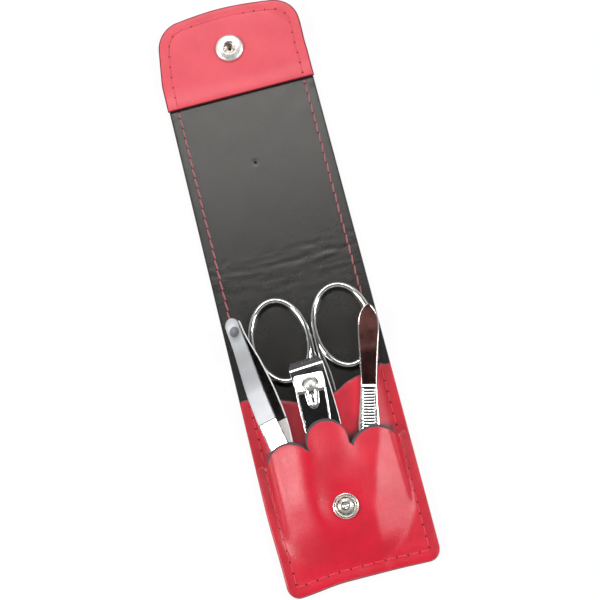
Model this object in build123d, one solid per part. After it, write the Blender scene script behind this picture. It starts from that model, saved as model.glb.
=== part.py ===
"""Folding leather manicure set case with scissors, nail clipper, tweezers and nail file.

Frame: +Z up, the open case lies on its back on z = 0, +Y runs from the pocket end to the snap tab,
+X to the right. The origin is the middle of the open case's footprint. Millimetres.
"""
from build123d import *
from math import sin, cos, tan, radians, degrees, atan2
import os

# ---------------------------------------------------------------- driving dimensions, case
case_width = 62.0
pocket_length = 119.25       # from the pocket end to the first fold
corner_r = 5.0               # at the pocket end
tab_corner_r = 9.0
tab_taper = 2.2              # how much each side draws in towards the tip
tab_taper_length = 27.0
tab_crown = 3.0              # rise of the curved tip
outer_t = 1.2                # leather and lining thicknesses
lining_t = 0.8
facing_t = 1.0
rear_panel_t = 0.9
front_panel_t = 1.0
spine_length = 15.0          # strip between the two fold lines, also the closed case's inner depth
fold_gap = 0.1               # gap between the sections along a fold line
facing_length = 38.6         # tab facing, along the case
tab_angle = 6.0              # standing bend of the tab out of the cover's plane

# ---------------------------------------------------------------- driving dimensions, pockets
# Heights along the case are measured from its pocket end, sideways places from its middle or its side.
rear_edge = 79.3             # top edge of the rear pocket at the side seams
rear_dip = 8.4               # how far that edge dips in the middle
rear_end = 6.6               # where the rear pocket's hollow ends
rear_hollow = 2.9            # height of the scissors' space
rear_flat_inset = 14.5       # from the case's side edge to the hollow's flat top
hollow_inset = 5.5           # from the case's side edge to the foot of the rear pocket's hollow
front_foot_inset = 4.9       # the same for the front pocket
front_end = 4.6
front_side = 51.6            # where the front panel's scallops start at the side seams
lobe_inset = (13.8, 14.4)    # left and right lobe's tip from the case's side edges
lobe_middle_x = -0.8
lobe_tip = (56.3, 61.6, 55.0)
lobe_half_w = (9.0, 8.4, 8.6)
notch = 49.6

# ---------------------------------------------------------------- driving dimensions, snap
stud_from_end = 27.0
snap_from_bend = 20.4        # socket's distance from the facing's edge
socket_r = 5.9
socket_h = 1.8
socket_hole_r = 2.75
stud_r = 5.1
stud_flange_h = 1.0
stud_neck_r = 1.7
stud_head_r = 2.3
stud_h = 3.3
post_r = 4.0
post_t = 0.6
cap_r = 6.3
cap_h = 1.1
barrel_wall = 0.35
spring_wire_r = 0.25
snap_play = 0.15             # running clearances
fit_gap = 0.1

# ---------------------------------------------------------------- driving dimensions, thread
stitch_inset = 4.0
stitch_pitch = 4.6
stitch_length = 3.3
stitch_r = 0.3

# ---------------------------------------------------------------- driving dimensions, scissors
scissor_x = 3.7
scissor_from_end = 60.6      # pivot
ring_dx = 12.9               # ring centre from the scissors' axis
ring_dy = 38.4               # ring centre from the pivot
ring_half_w = 11.4           # centre line of the ring's wire
ring_half_l = 16.9
ring_wire_r = 1.2
blade_length = 35.0
blade_w = 6.6
boss_r = 4.2
shank_gap = 0.3
layer_gap = 0.06
screw_r = 1.2
screw_head_r = 2.2
screw_head_t = 0.6
lift = 0.3                   # tools' clearance from the lining

# ---------------------------------------------------------------- driving dimensions, clipper
clipper_x = -1.9             # middle of the cutting edge
clipper_from_end = 87.6
clipper_lean = 3.5           # degrees
clipper_length = 54.0
clipper_w = 13.2
clipper_tail_w = 9.6
plate_t = 1.2
jaw_rise = 2.6               # upper plate's rise from the tail to the pin
jaw_open = 1.7
pin_from_jaw = 10.0
pin_r = 1.6
pin_neck_r = 1.2
pin_ball_r = 2.5
pin_foot_r = 2.6
pin_foot_t = 0.5
rivet_from_tail = 4.0
rivet_r = 1.2
rivet_head_r = 2.2
rivet_head_t = 0.5
lever_from_pin = 3.2         # lever's full width starts here
lever_length = 34.2
lever_w = 13.0
lever_end_w = 9.6
lever_t = 0.9
lever_wall = 0.9
lever_wall_h = 1.1
lever_swivel = 6.6           # degrees off the body's axis
lever_gap = 0.12
lug_h = 1.6
lug_r = 1.3
lug_length = 6.4

# ---------------------------------------------------------------- driving dimensions, tweezers
tweezer_inset = 4.8          # joined end, from the case's side edge
tweezer_from_end = 111.0
tweezer_lean = 7.8
tweezer_roll = 27.0
tweezer_length = 80.0
arm_t = 1.0
arm_top_w = 6.3
arm_kink_w = 8.3
arm_tip_w = 2.4
kink_from_top = 42.6
arm_spread = 6.6             # arm to arm, widest
kink_spread = 5.8
tip_spread = 2.4
arm_play = 0.05
tweezer_rivet_from_top = 4.6
tweezer_rivet_r = 1.0
tweezer_head_r = 1.9
tweezer_head_t = 0.35

# ---------------------------------------------------------------- driving dimensions, file
file_inset = 2.6             # pointed tip, from the case's side edge
file_from_end = 104.0
file_lean = 13.9
file_length = 91.0
file_t = 1.2
file_head_w = 8.2
file_waist_w = 6.3
file_blade_w = 8.4
file_end_w = 4.0
file_bevel = 0.3
ridge_start = 35.5
ridge_end = 76.0
ridge_pitch = 0.9
ridge_depth = 0.22
ridge_band_w = 3.7
ridge_band_end_w = 4.6
tool_gap = 0.2               # between stacked tools and panels
left_play = 0.3              # between the tweezers and the front panel

# ---------------------------------------------------------------- derived places
half_w = case_width / 2
tab_rise = sin(radians(tab_angle))
tab_run = cos(radians(tab_angle))
snap_stack = stud_flange_h + socket_h + snap_play
socket_reach = pocket_length - stud_from_end + snap_stack * tab_rise   # second fold to the socket
bend_reach = socket_reach - snap_from_bend * tab_run + facing_t * tab_rise
case_length = pocket_length + spine_length + bend_reach + facing_length
y_low = -case_length / 2
y_high = case_length / 2
fold_y = y_low + pocket_length                   # first fold line
cover_y = fold_y + spine_length                  # second fold line
bend_y = cover_y + bend_reach                    # the facing's edge, where the tab bends up
rear_edge_y = y_low + rear_edge
rear_end_y = y_low + rear_end
front_end_y = y_low + front_end
front_side_y = y_low + front_side
notch_y = y_low + notch
lobe_x = (lobe_inset[0] - half_w, lobe_middle_x, half_w - lobe_inset[1])
lobe_tips = [(x, y_low + up, w) for x, up, w in zip(lobe_x, lobe_tip, lobe_half_w)]
z_lining = outer_t + lining_t                    # top of the lining, height of the fold axes
z_rear = z_lining + rear_panel_t                 # top of the rear panel's seam margin
z_front = z_rear + front_panel_t                 # top of the front panel's seam margin
z_rear_top = z_lining + rear_hollow + rear_panel_t
z_tools = z_rear_top + tool_gap                  # underside of the tools in the front pocket
z_scissors = z_lining + lift

barrel_r = stud_head_r + snap_play + barrel_wall
post_shaft_r = 1.2
spring_x = stud_neck_r + spring_wire_r + snap_play
spring_turn = 40.0
rivet_y = rivet_from_tail - clipper_length
plate_top = 2 * plate_t + jaw_rise               # upper plate's top at the pin, in the clipper's frame
plate_slope = degrees(atan2(jaw_rise, clipper_length - pin_from_jaw))
fork_r = pin_ball_r + 1.6
ball_z = plate_top + lever_gap + lever_t + 1.3
fork_hole_r = pin_ball_r - 0.25
arm_start_angle = 2.9
spread_half = arm_spread / 2 * cos(radians(tweezer_roll))
edge_rise = arm_kink_w / 2 * sin(radians(tweezer_roll)) + arm_t / 2
tweezer_z = z_scissors + 2 * ring_wire_r + tool_gap + spread_half + edge_rise
tweezer_top_z = tweezer_z + (tip_spread / 2 + 0.5) * cos(radians(tweezer_roll)) + edge_rise
file_swell = 2.2             # the leather stands this far above the file


def tab_point(along, up):
    """Rest place (y, z) of a point on the tab, from the bend and above the lining's top face."""
    return (bend_y + along * tab_run - up * tab_rise, z_lining + along * tab_rise + up * tab_run)


def closed_place(y, z):
    """Where a cover point goes when both folds are closed by a quarter turn."""
    return (fold_y - (y - cover_y), z_lining + spine_length - (z - z_lining))


socket_face = tab_point(snap_from_bend, facing_t)
socket_closed = closed_place(*socket_face)
stud_y = socket_closed[0] + snap_stack * tab_rise
stud_z = socket_closed[1] - snap_stack * tab_run


# ---------------------------------------------------------------- helpers
def block(x0, x1, y0, y1, z0, z1):
    """Box from its lowest to its highest corner."""
    centre = ((x0 + x1) / 2, (y0 + y1) / 2, (z0 + z1) / 2)
    return Pos(*centre) * Box(x1 - x0, y1 - y0, z1 - z0)


def plate(points, z0, z1):
    """Straight-edged outline in plan, raised from z0 to z1."""
    wire = Polyline(*[(x, y, z0) for x, y in points], close=True)
    return extrude(make_face(wire), z1 - z0, dir=(0, 0, 1))


def side_profile(points, width):
    """Outline in the YZ plane, made a solid of the given width about x = 0."""
    wire = Polyline(*[(-width / 2, y, z) for y, z in points], close=True)
    return extrude(make_face(wire), width, dir=(1, 0, 0))


def rod(radius, z0, z1, x=0.0, y=0.0):
    """Upright cylinder."""
    return Pos(x, y, (z0 + z1) / 2) * Cylinder(radius, z1 - z0)


def turned(points):
    """Solid turned about Z from (radius, z) points."""
    wire = Polyline(*[(r, 0, z) for r, z in points], close=True)
    return revolve(make_face(wire), Axis.Z)


def one(shape):
    """The single solid of a shape that may come as a group."""
    solids = shape.solids()
    return max(solids, key=lambda s: s.volume)


def group(shapes):
    return Compound(children=[s for shape in shapes for s in shape.solids()])


# ---------------------------------------------------------------- case outline
def case_outline():
    """Plan of the open case, with round corners and the tapered, crowned tab."""
    tip_x = half_w - tab_taper
    shoulder_y = y_high - tab_crown
    edge = [
        Line((-half_w, y_low), (half_w, y_low)),
        Line((half_w, y_low), (half_w, y_high - tab_taper_length)),
        Line((half_w, y_high - tab_taper_length), (tip_x, shoulder_y)),
        ThreePointArc((tip_x, shoulder_y), (0, y_high), (-tip_x, shoulder_y)),
        Line((-tip_x, shoulder_y), (-half_w, y_high - tab_taper_length)),
        Line((-half_w, y_high - tab_taper_length), (-half_w, y_low)),
    ]
    face = make_face(edge)
    low = [v for v in face.vertices() if v.Y < y_low + 0.01]
    face = fillet(low, corner_r)
    tips = [v for v in face.vertices() if v.Y > shoulder_y - 0.01]
    return fillet(tips, tab_corner_r)


OUTLINE = case_outline()


def sheet(z0, z1, y0, y1):
    """Layer of the case between two levels, cut off square at y0 and y1."""
    slab = extrude(Pos(0, 0, z0) * OUTLINE, z1 - z0, dir=(0, 0, 1))
    return one(slab & block(-case_width, case_width, y0, y1, z0 - 1, z1 + 1))


def cover_layer(w0, w1, y0):
    """Layer of the cover from w0 to w1 above the lining's top face, flat and then rising with the tab."""
    reach = 2 * facing_length
    mitre = tan(radians(tab_angle / 2))
    low = [(bend_y - w0 * mitre, z_lining + w0), tab_point(reach, w0)]
    high = [tab_point(reach, w1), (bend_y - w1 * mitre, z_lining + w1)]
    flat = [(y0, z_lining + w1), (y0, z_lining + w0)] if y0 < bend_y else []
    band = side_profile(low + high + flat, 2 * case_width)
    return one(band & extrude(OUTLINE, 4 * facing_length, dir=(0, 0, 1), both=True))


def on_tab(shape, up):
    """Moves a snap piece from its own upright axis to the tab, at a height above the lining."""
    y, z = tab_point(snap_from_bend, up)
    return Pos(0, y, z) * Rot(tab_angle, 0, 0) * shape


def on_pocket(shape):
    """Moves a snap piece from its own upright axis to the stud's seat on the front pocket."""
    return Pos(0, stud_y, stud_z) * Rot(tab_angle, 0, 0) * shape


# ---------------------------------------------------------------- case, flat layers
def back_outer():
    return sheet(0, outer_t, y_low - 1, fold_y - fold_gap / 2)


def back_lining():
    return sheet(outer_t, z_lining, y_low - 1, fold_y - fold_gap / 2)


def spine_outer():
    return sheet(0, outer_t, fold_y + fold_gap / 2, cover_y - fold_gap / 2)


def spine_lining():
    return sheet(outer_t, z_lining, fold_y + fold_gap / 2, cover_y - fold_gap / 2)


def tab_hole():
    """Hole for the cap's barrel through every layer of the tab."""
    return on_tab(rod(barrel_r + fit_gap, -3 * z_lining, 3 * z_lining), 0)


def cover_outer():
    return cover_layer(-z_lining, -lining_t, cover_y + fold_gap / 2) - tab_hole()


def cover_lining():
    return cover_layer(-lining_t, 0, cover_y + fold_gap / 2) - tab_hole()


def tab_facing():
    return cover_layer(0, facing_t, bend_y) - tab_hole()


# ---------------------------------------------------------------- pockets
def arched(foot, flat, top, end_y, slope_y):
    """Flat-topped ridge on the lining along Y, from beyond the pocket's mouth to a sloping closed end."""
    cross = [(-foot, z_lining), (foot, z_lining), (flat, top), (-flat, top)]
    wire = Polyline(*[(x, y_low, z) for x, z in cross], close=True)
    ridge = extrude(make_face(wire), case_length, dir=(0, 1, 0))
    side = [(end_y, z_lining), (end_y + slope_y, top), (0, top), (0, z_lining)]
    return ridge & side_profile(side, 2 * case_width)


def rear_pocket():
    """Rear pocket panel: flat seam margins round three sides and a raised middle over the scissors."""
    foot = half_w - hollow_inset
    flat = half_w - rear_flat_inset
    t = rear_panel_t
    end_slope = 4 * rear_hollow
    margin = sheet(z_lining, z_rear, y_low - 1, fold_y)
    hump = arched(foot + t, flat + t / 2, z_rear_top, rear_end_y - t, end_slope)
    hollow = arched(foot, flat, z_rear_top - t, rear_end_y, end_slope)
    middle_y = rear_edge_y - rear_dip
    side_x = foot + t
    edge = [
        Line((-half_w - 1, y_low - 1), (half_w + 1, y_low - 1)),
        Line((half_w + 1, y_low - 1), (half_w + 1, rear_edge_y)),
        Line((half_w + 1, rear_edge_y), (side_x, rear_edge_y)),
        Spline((side_x, rear_edge_y), (0.55 * side_x, rear_edge_y - 0.36 * rear_dip),
               (0, middle_y), (-0.55 * side_x, rear_edge_y - 0.36 * rear_dip), (-side_x, rear_edge_y)),
        Line((-side_x, rear_edge_y), (-half_w - 1, rear_edge_y)),
        Line((-half_w - 1, rear_edge_y), (-half_w - 1, y_low - 1)),
    ]
    plan = extrude(make_face(edge), 2 * z_rear_top, dir=(0, 0, 1))
    return one((margin + hump - hollow) & plan)


def front_section(y, left, middle, right, dip, inset):
    """Cross-section of the front pocket at y: three swells between the side seams.

    left, middle and right are the swells' heights above the rear panel's margin.
    """
    foot = half_w - front_foot_inset - inset
    joint_l = (left + middle) / 2 - dip
    joint_r = 0.75 * middle + 0.25 * right - 0.3 * dip
    shape = [(-0.90, 0.77 * left), (-0.64, left), (-0.34, joint_l), (0, middle),
             (0.30, joint_r), (0.60, right), (0.885, 0.74 * right)]
    swells = [(k * foot, y, z_rear + max(h - inset, 0.3)) for k, h in shape]
    crest = Spline((-foot, y, z_rear), *swells, (foot, y, z_rear))
    return make_face([crest, Line((foot, y, z_rear), (-foot, y, z_rear))])


def front_hump(inset):
    """Solid under the front pocket's surface, or, inset by the leather, its hollow."""
    rise = tan(radians(tab_angle))

    def middle(y):
        return stud_z - z_rear + (y - stud_y) * rise

    mouth_y = lobe_tips[1][1] + 5.0
    left = tweezer_top_z + left_play + front_panel_t - z_rear
    right = z_tools + file_t + file_swell + front_panel_t - z_rear
    seam_h = front_panel_t + 0.4
    stations = [
        (mouth_y, left, middle(mouth_y), right, 0.9),
        (mouth_y - 12, 0.98 * left, middle(mouth_y - 12) + 0.3, right, 0.8),
        (mouth_y - 23, 0.93 * left, middle(mouth_y - 23) + 0.9, right, 0.5),
        (stud_y, 0.81 * left, middle(stud_y), 0.86 * right, 0.0),
        (stud_y - 13, 0.44 * left, 0.72 * middle(stud_y), 0.70 * right, 0.0),
        (front_end_y + inset, seam_h, seam_h, seam_h, 0.0),
    ]
    return loft([front_section(y, l, m, r, dip, inset) for y, l, m, r, dip in stations])


def scallops():
    """Plan of the front panel: square at the bottom, with three round lobes along its top edge."""
    (lx, ly, lw), (mx, my, mw), (rx, ry, rw) = lobe_tips
    shoulder = my - 0.9 * mw
    left_notch = ((lx + lw + mx - mw) / 2, notch_y + 1.0)
    right_notch = ((rx - rw + mx + mw) / 2, notch_y)
    edge = [
        Line((-half_w - 1, y_low - 1), (half_w + 1, y_low - 1)),
        Line((half_w + 1, y_low - 1), (half_w + 1, front_side_y)),
        Line((half_w + 1, front_side_y), (rx + rw, front_side_y)),
        ThreePointArc((rx + rw, front_side_y), (rx, ry), right_notch),
        Line(right_notch, (mx + mw, shoulder)),
        ThreePointArc((mx + mw, shoulder), (mx, my), (mx - mw, shoulder)),
        Line((mx - mw, shoulder), left_notch),
        ThreePointArc(left_notch, (lx, ly), (lx - lw, front_side_y)),
        Line((lx - lw, front_side_y), (-half_w - 1, front_side_y)),
        Line((-half_w - 1, front_side_y), (-half_w - 1, y_low - 1)),
    ]
    return make_face(edge)


def front_pocket():
    """Front pocket panel, swelling over the tools, with a flat seat for the stud."""
    t = front_panel_t
    seat_r = stud_r + 0.3
    margin = sheet(z_rear, z_front, y_low - 1, front_side_y + 15)
    panel = margin + front_hump(0) - front_hump(t)
    panel = panel & extrude(scallops(), 2 * spine_length, dir=(0, 0, 1))
    panel = panel - on_pocket(rod(seat_r, 0, 2 * stud_h)) + on_pocket(rod(seat_r, -t, 0))
    panel = panel - on_pocket(rod(post_r + fit_gap, -t - 3 * post_t, -t))
    return one(panel - on_pocket(rod(post_shaft_r + fit_gap, -2 * t, t)))


# ---------------------------------------------------------------- snap
def snap_stud():
    """Press stud: rolled flange, groove, neck and a head with a dimple."""
    f = stud_flange_h
    r, neck, head = stud_r, stud_neck_r, stud_head_r
    shape = turned([
        (0, 0), (r - 0.3, 0), (r, 0.3 * f), (r, 0.7 * f), (r - 0.4, f), (r - 1.3, f), (r - 1.7, 0.6 * f),
        (neck + 1.0, 0.6 * f), (neck + 0.6, f), (neck, f + 0.15), (neck, stud_h - 1.0), (head, stud_h - 0.75),
        (head, stud_h - 0.3), (head - 0.4, stud_h), (0.9, stud_h), (0.5, stud_h - 0.6), (0, stud_h - 0.7),
    ])
    return on_pocket(shape - rod(post_shaft_r + 0.05, -1, 0.8 * f))


def snap_post():
    flange = rod(post_r, -front_panel_t - post_t, -front_panel_t)
    return on_pocket(flange + rod(post_shaft_r, -front_panel_t, 0.75 * stud_flange_h))


def spring_slots(r, clearance):
    """The two straight spring wires, or the slots that hold them, across the socket's hole."""
    half_l = socket_r - 1.1
    bars = [Pos(side * spring_x, 0, socket_h * 0.45) * Rot(90, 0, 0) * Cylinder(r, 2 * (half_l + clearance))
            for side in (-1, 1)]
    return Rot(0, 0, spring_turn) * Compound(children=bars)


def snap_socket():
    r, h = socket_r, socket_h
    ring = turned([(socket_hole_r, 0), (r - 0.3, 0), (r, 0.25 * h), (r - 0.25, 0.62 * h), (r - 0.9, h - 0.12),
                   (r - 1.5, h), (socket_hole_r + 0.3, h), (socket_hole_r, h - 0.3)])
    slots = spring_slots(spring_wire_r + 0.05, 0.05)
    return on_tab(one(ring - slots), facing_t)


def snap_spring():
    return on_tab(spring_slots(spring_wire_r, 0), facing_t)


def snap_cap():
    """Domed cap on the tab's outer side, with the barrel that reaches the socket."""
    r, h = cap_r, cap_h
    dome = turned([(0, 0), (r - 0.4, 0), (r, -0.35 * h), (0.8 * r, -0.75 * h), (0.5 * r, -0.95 * h), (0, -h)])
    barrel = rod(barrel_r, -0.01, z_lining + facing_t) - rod(barrel_r - barrel_wall, 0.4, z_lining + 2 * facing_t)
    return on_tab(dome + barrel, -z_lining)


# ---------------------------------------------------------------- thread
def stitches():
    """Every stitch of the one seam round the case, as (centre, direction, z, section)."""
    seam = offset(OUTLINE, -stitch_inset).face().outer_wire()
    count = round(seam.length / stitch_pitch)
    edges_y = [front_side_y, rear_edge_y, fold_y, cover_y, bend_y]
    found = []
    for i in range(count):
        at = seam.position_at(i / count)
        way = seam.tangent_at(i / count)
        if any(abs(at.Y - y) < stitch_length / 2 + 0.3 for y in edges_y):
            continue
        if at.Y < front_side_y:
            place = (z_front, "back")
        elif at.Y < rear_edge_y:
            place = (z_rear, "back")
        elif at.Y < fold_y:
            place = (z_lining, "back")
        elif at.Y < cover_y:
            place = (z_lining, "spine")
        elif at.Y < bend_y:
            place = (z_lining, "cover")
        else:
            place = (z_lining, "tab")
        found.append((at, degrees(atan2(way.Y, way.X)), *place))
    return found


def thread(*sections):
    """The stitches of some sections, each a half-round bar that lies on the leather."""
    bar = Rot(0, 90, 0) * Cylinder(stitch_r, stitch_length)
    bar = one(bar & block(-stitch_length, stitch_length, -1, 1, 0, 1))
    bars = []
    for at, turn, z, section in stitches():
        if section not in sections:
            continue
        if section == "tab":
            along = (at.Y - bend_y) / cos(radians(tab_angle))
            y, z = tab_point(along, facing_t)
            bars.append(Pos(at.X, y, z) * Rot(tab_angle, 0, 0) * Rot(0, 0, turn) * bar)
        else:
            bars.append(Pos(at.X, at.Y, z) * Rot(0, 0, turn) * bar)
    return group(bars)


# ---------------------------------------------------------------- nail scissors
def scissor_half(side, z0, z1, blade_shift):
    """One half: side -1 has the left ring, +1 the right; z0 to z1 is its layer at the pivot."""
    bottom, top = 0.0, 2 * ring_wire_r
    path = Pos(side * ring_dx, ring_dy, ring_wire_r) * Edge.make_ellipse(ring_half_w, ring_half_l)
    ring = sweep(Plane(origin=path @ 0, z_dir=path % 0) * Circle(ring_wire_r), path=path)
    inner = shank_gap / 2
    out = ring_dx - ring_half_w
    shank = plate([(side * x, y) for x, y in (
        (inner, 1.2 * boss_r), (boss_r, 1.2 * boss_r), (boss_r - 0.4, 16.0), (boss_r - 0.5, 20.0),
        (out + 1.3, 25.0), (out + 0.5, 30.0), (out + 0.6, ring_dy - 3), (out - 0.2, ring_dy), (inner, ring_dy - 2))],
        bottom, top)
    root = plate([(side * x, y) for x, y in (
        (inner, 1.2 * boss_r + 0.5), (boss_r, 1.2 * boss_r + 0.5), (boss_r, 0), (-1.0, 0))], z0, z1)
    tip = blade_length
    half = blade_w / 2
    blade = plate([(x - side * blade_shift, y) for x, y in (
        (-half, 0), (half, 0), (half - 0.5, -0.35 * tip), (0.5, -tip), (-0.5, -tip), (-half + 0.5, -0.35 * tip))],
        z0, z1)
    return one(ring + shank + root + rod(boss_r, z0, z1) + blade)


def on_scissors(shape):
    return Pos(scissor_x, y_low + scissor_from_end, z_scissors) * shape


def scissor_left():
    top = ring_wire_r - layer_gap / 2
    return on_scissors(one(scissor_half(-1, 0, top, 0.5) - rod(screw_r + 0.05, -1, 9)))


def scissor_right():
    full = 2 * ring_wire_r
    half = scissor_half(1, ring_wire_r + layer_gap / 2, full, 0.5)
    return on_scissors(one(half - rod(screw_r + 0.05, -1, 9) - rod(screw_head_r + 0.05, full - screw_head_t, 9)))


def scissor_screw():
    full = 2 * ring_wire_r
    slot = block(-screw_head_r, screw_head_r, -0.25, 0.25, full - 0.3, full + 1)
    head = rod(screw_head_r, full - screw_head_t, full) - slot
    return on_scissors(one(head + rod(screw_r, 0, full - screw_head_t)))


# ---------------------------------------------------------------- nail clipper
def on_clipper(shape):
    """From the clipper's own frame: the cutting edge at y = 0, the tail at -y, the lower plate on z = 0."""
    jaw = (clipper_x, y_low + clipper_from_end, z_tools + pin_foot_t)
    return Pos(*jaw) * Rot(0, 0, clipper_lean) * shape


def clipper_plan():
    """Plan of both plates: a hollow-ground cutting edge, straight sides and a narrower round tail."""
    jaw, tail = clipper_w / 2, clipper_tail_w / 2
    length = clipper_length
    edge = [
        ThreePointArc((-jaw, 0), (0, -0.7), (jaw, 0)),
        Line((jaw, 0), (jaw, -0.35 * length)),
        Line((jaw, -0.35 * length), (tail, 2 - length)),
        ThreePointArc((tail, 2 - length), (0, -length), (-tail, 2 - length)),
        Line((-tail, 2 - length), (-jaw, -0.35 * length)),
        Line((-jaw, -0.35 * length), (-jaw, 0)),
    ]
    return extrude(make_face(edge), 4 * jaw_rise, dir=(0, 0, 1), both=True)


def clipper_holes(pin_play):
    """Cuts for the pin and the rivet; the upper plate tips about its tail, so its pin hole is wider."""
    return rod(pin_r + pin_play, -9, 20, 0, -pin_from_jaw) + rod(rivet_r + fit_gap, -9, 20, 0, rivet_y)


def clipper_lower():
    t = plate_t
    profile = [(-clipper_length, 0), (-6, 0), (0, 0.75), (0.0, 1.05), (-2.5, 1.5), (-6, t), (-clipper_length, t)]
    return on_clipper(one((side_profile(profile, 2 * clipper_w) & clipper_plan()) - clipper_holes(0.05)))


def clipper_upper():
    t = plate_t
    top = 2 * t + jaw_rise
    edge_z = 1.05 + jaw_open
    profile = [(-clipper_length, t), (-pin_from_jaw, top - t), (-6, top - t - 0.05), (-2.6, top - t - 0.5),
               (0, edge_z), (0, edge_z + 0.3), (-3.0, top - 0.25), (-6.5, top + 0.1), (-pin_from_jaw, top),
               (-clipper_length, 2 * t)]
    return on_clipper(one((side_profile(profile, 2 * clipper_w) & clipper_plan()) - clipper_holes(0.3)))


def clipper_pin():
    """Pin with a flat foot under the lower plate and a round head over the lever."""
    y = -pin_from_jaw
    foot = rod(pin_foot_r, -pin_foot_t, 0, 0, y)
    head = Pos(0, y, ball_z) * Sphere(pin_ball_r)
    head = head & block(-9, 9, y - 9, y + 9, 0, ball_z + 0.8 * pin_ball_r)
    shaft = rod(pin_r, -pin_foot_t, plate_top + 0.1, 0, y) + rod(pin_neck_r, plate_top, ball_z, 0, y)
    return on_clipper(one(foot + shaft + head))


def clipper_rivet():
    """Hollow rivet at the tail, headed over the upper plate and flush below."""
    top = 2 * plate_t + jaw_rise * rivet_from_tail / (clipper_length - pin_from_jaw) + 0.2
    body = rod(rivet_r, 0, top, 0, rivet_y) + rod(rivet_head_r, top, top + rivet_head_t, 0, rivet_y)
    foot = rod(rivet_head_r, -rivet_head_t, 0, 0, rivet_y)
    return on_clipper(one(body + foot - rod(0.5 * rivet_r, -9, 20, 0, rivet_y)))


def clipper_lever():
    """Lever stowed over the upper plate, hollow side up: fork round the pin, side walls and two lugs."""
    wide, narrow = lever_w / 2, lever_end_w / 2
    start, end = -lever_from_pin, -lever_from_pin - lever_length
    t = lever_t

    def outline(w0, w1, y0, y1):
        edge = [Line((-w0, y0), (w0, y0)), Line((w0, y0), (w1, y1 + 3)),
                ThreePointArc((w1, y1 + 3), (0, y1), (-w1, y1 + 3)), Line((-w1, y1 + 3), (-w0, y0))]
        return make_face(edge)

    tray = extrude(outline(wide, narrow, start, end), t + lever_wall_h, dir=(0, 0, 1))
    inside = outline(wide - lever_wall, narrow - lever_wall, start + 1, end + lever_wall)
    tray = tray - extrude(Pos(0, 0, t) * inside, 9, dir=(0, 0, 1))
    neck = plate([(-fork_r, 0), (fork_r, 0), (wide - 1, start - 0.5), (1 - wide, start - 0.5)], 0, t)
    lugs = []
    for side in (-1, 1):
        x = side * (lug_r + 0.3)
        y0, y1 = start - 0.5, start - lug_length
        bar = Pos(x, (y0 + y1) / 2, t) * Rot(90, 0, 0) * Cylinder(lug_r, y0 - y1)
        ends = [Pos(x, y, t) * Sphere(lug_r) for y in (y0, y1)]
        lug = (bar + ends[0] + ends[1]) & block(-9, 9, -60, 9, t - 0.2, t + lug_h)
        lugs.append(lug)
    lever = tray + neck + rod(fork_r, 0, t) + lugs[0] + lugs[1] - rod(fork_hole_r, -9, 20)
    lever = Rot(plate_slope, 0, 0) * one(lever)
    return on_clipper(Pos(0, -pin_from_jaw, plate_top + lever_gap) * Rot(0, 0, -lever_swivel) * lever)


# ---------------------------------------------------------------- tweezers
def on_tweezers(shape):
    """From the tweezers' own frame: the joined end at y = 0, the tips at -y, the arms above and below z = 0."""
    top = (tweezer_inset - half_w, y_low + tweezer_from_end, tweezer_z)
    return Pos(*top) * Rot(0, 0, tweezer_lean) * Rot(0, -tweezer_roll, 0) * shape


def arm_plan():
    """Plan of an arm: round at the joined end, widest at the kink, narrow at the tip."""
    top, kink, tip = arm_top_w / 2, arm_kink_w / 2, arm_tip_w / 2
    taper_y = -kink_from_top - 14
    edge = [
        ThreePointArc((-top, -top), (0, 0), (top, -top)),
        Line((top, -top), (kink, -kink_from_top)), Line((kink, -kink_from_top), (kink, taper_y)),
        Line((kink, taper_y), (tip, 1 - tweezer_length)), Line((tip, 1 - tweezer_length), (-tip, -tweezer_length)),
        Line((-tip, -tweezer_length), (-kink, taper_y)), Line((-kink, taper_y), (-kink, -kink_from_top)),
        Line((-kink, -kink_from_top), (-top, -top)),
    ]
    return extrude(make_face(edge), 4 * arm_spread, dir=(0, 0, 1), both=True)


def arm():
    """The front arm: a bowed strip down to the kink, then straight to the tip."""
    straight = 12.0
    rise = tan(radians(arm_start_angle))

    def side(extra):
        kink = (-kink_from_top, (kink_spread - arm_t) / 2 + extra)
        bow = Spline((-straight, arm_play + straight * rise + extra),
                     (-0.78 * kink_from_top, (arm_spread - arm_t) / 2 + extra), kink)
        return bow, kink, (-tweezer_length, (tip_spread - arm_t) / 2 + extra)

    (bow_in, kink_in, tip_in), (bow_out, kink_out, tip_out) = side(0), side(arm_t)
    step_y = -kink_from_top - 9
    step_in = (step_y, (tip_spread - arm_t) / 2)
    step_out = (step_y, (tip_spread + arm_t) / 2)
    start_in, start_out = bow_in @ 0, bow_out @ 0
    edges = [
        Line((0, arm_play), (start_in.X, start_in.Y)), bow_in, Line(kink_in, step_in), Line(step_in, tip_in),
        Line(tip_in, tip_out), Line(tip_out, step_out), Line(step_out, kink_out), bow_out,
        Line((start_out.X, start_out.Y), (0, arm_play + arm_t)), Line((0, arm_play + arm_t), (0, arm_play)),
    ]
    strip = extrude(make_face(edges), arm_kink_w, dir=(0, 0, 1), both=True)
    strip = Rot(0, 90, 0) * Rot(0, 0, 90) * strip
    return one((strip & arm_plan()) - rod(tweezer_rivet_r + fit_gap, -9, 9, 0, -tweezer_rivet_from_top))


def tweezer_front_arm():
    return on_tweezers(arm())


def tweezer_rear_arm():
    return on_tweezers(mirror(arm(), Plane.XY))


def tweezer_rivet():
    y = -tweezer_rivet_from_top
    z = arm_play + arm_t + (tweezer_rivet_from_top + tweezer_head_r) * tan(radians(arm_start_angle)) + 0.05
    body = rod(tweezer_rivet_r, -z, z, 0, y)
    for side in (-1, 1):
        body = body + rod(tweezer_head_r, *sorted((side * z, side * (z + tweezer_head_t))), 0, y)
    return on_tweezers(one(body))


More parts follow.
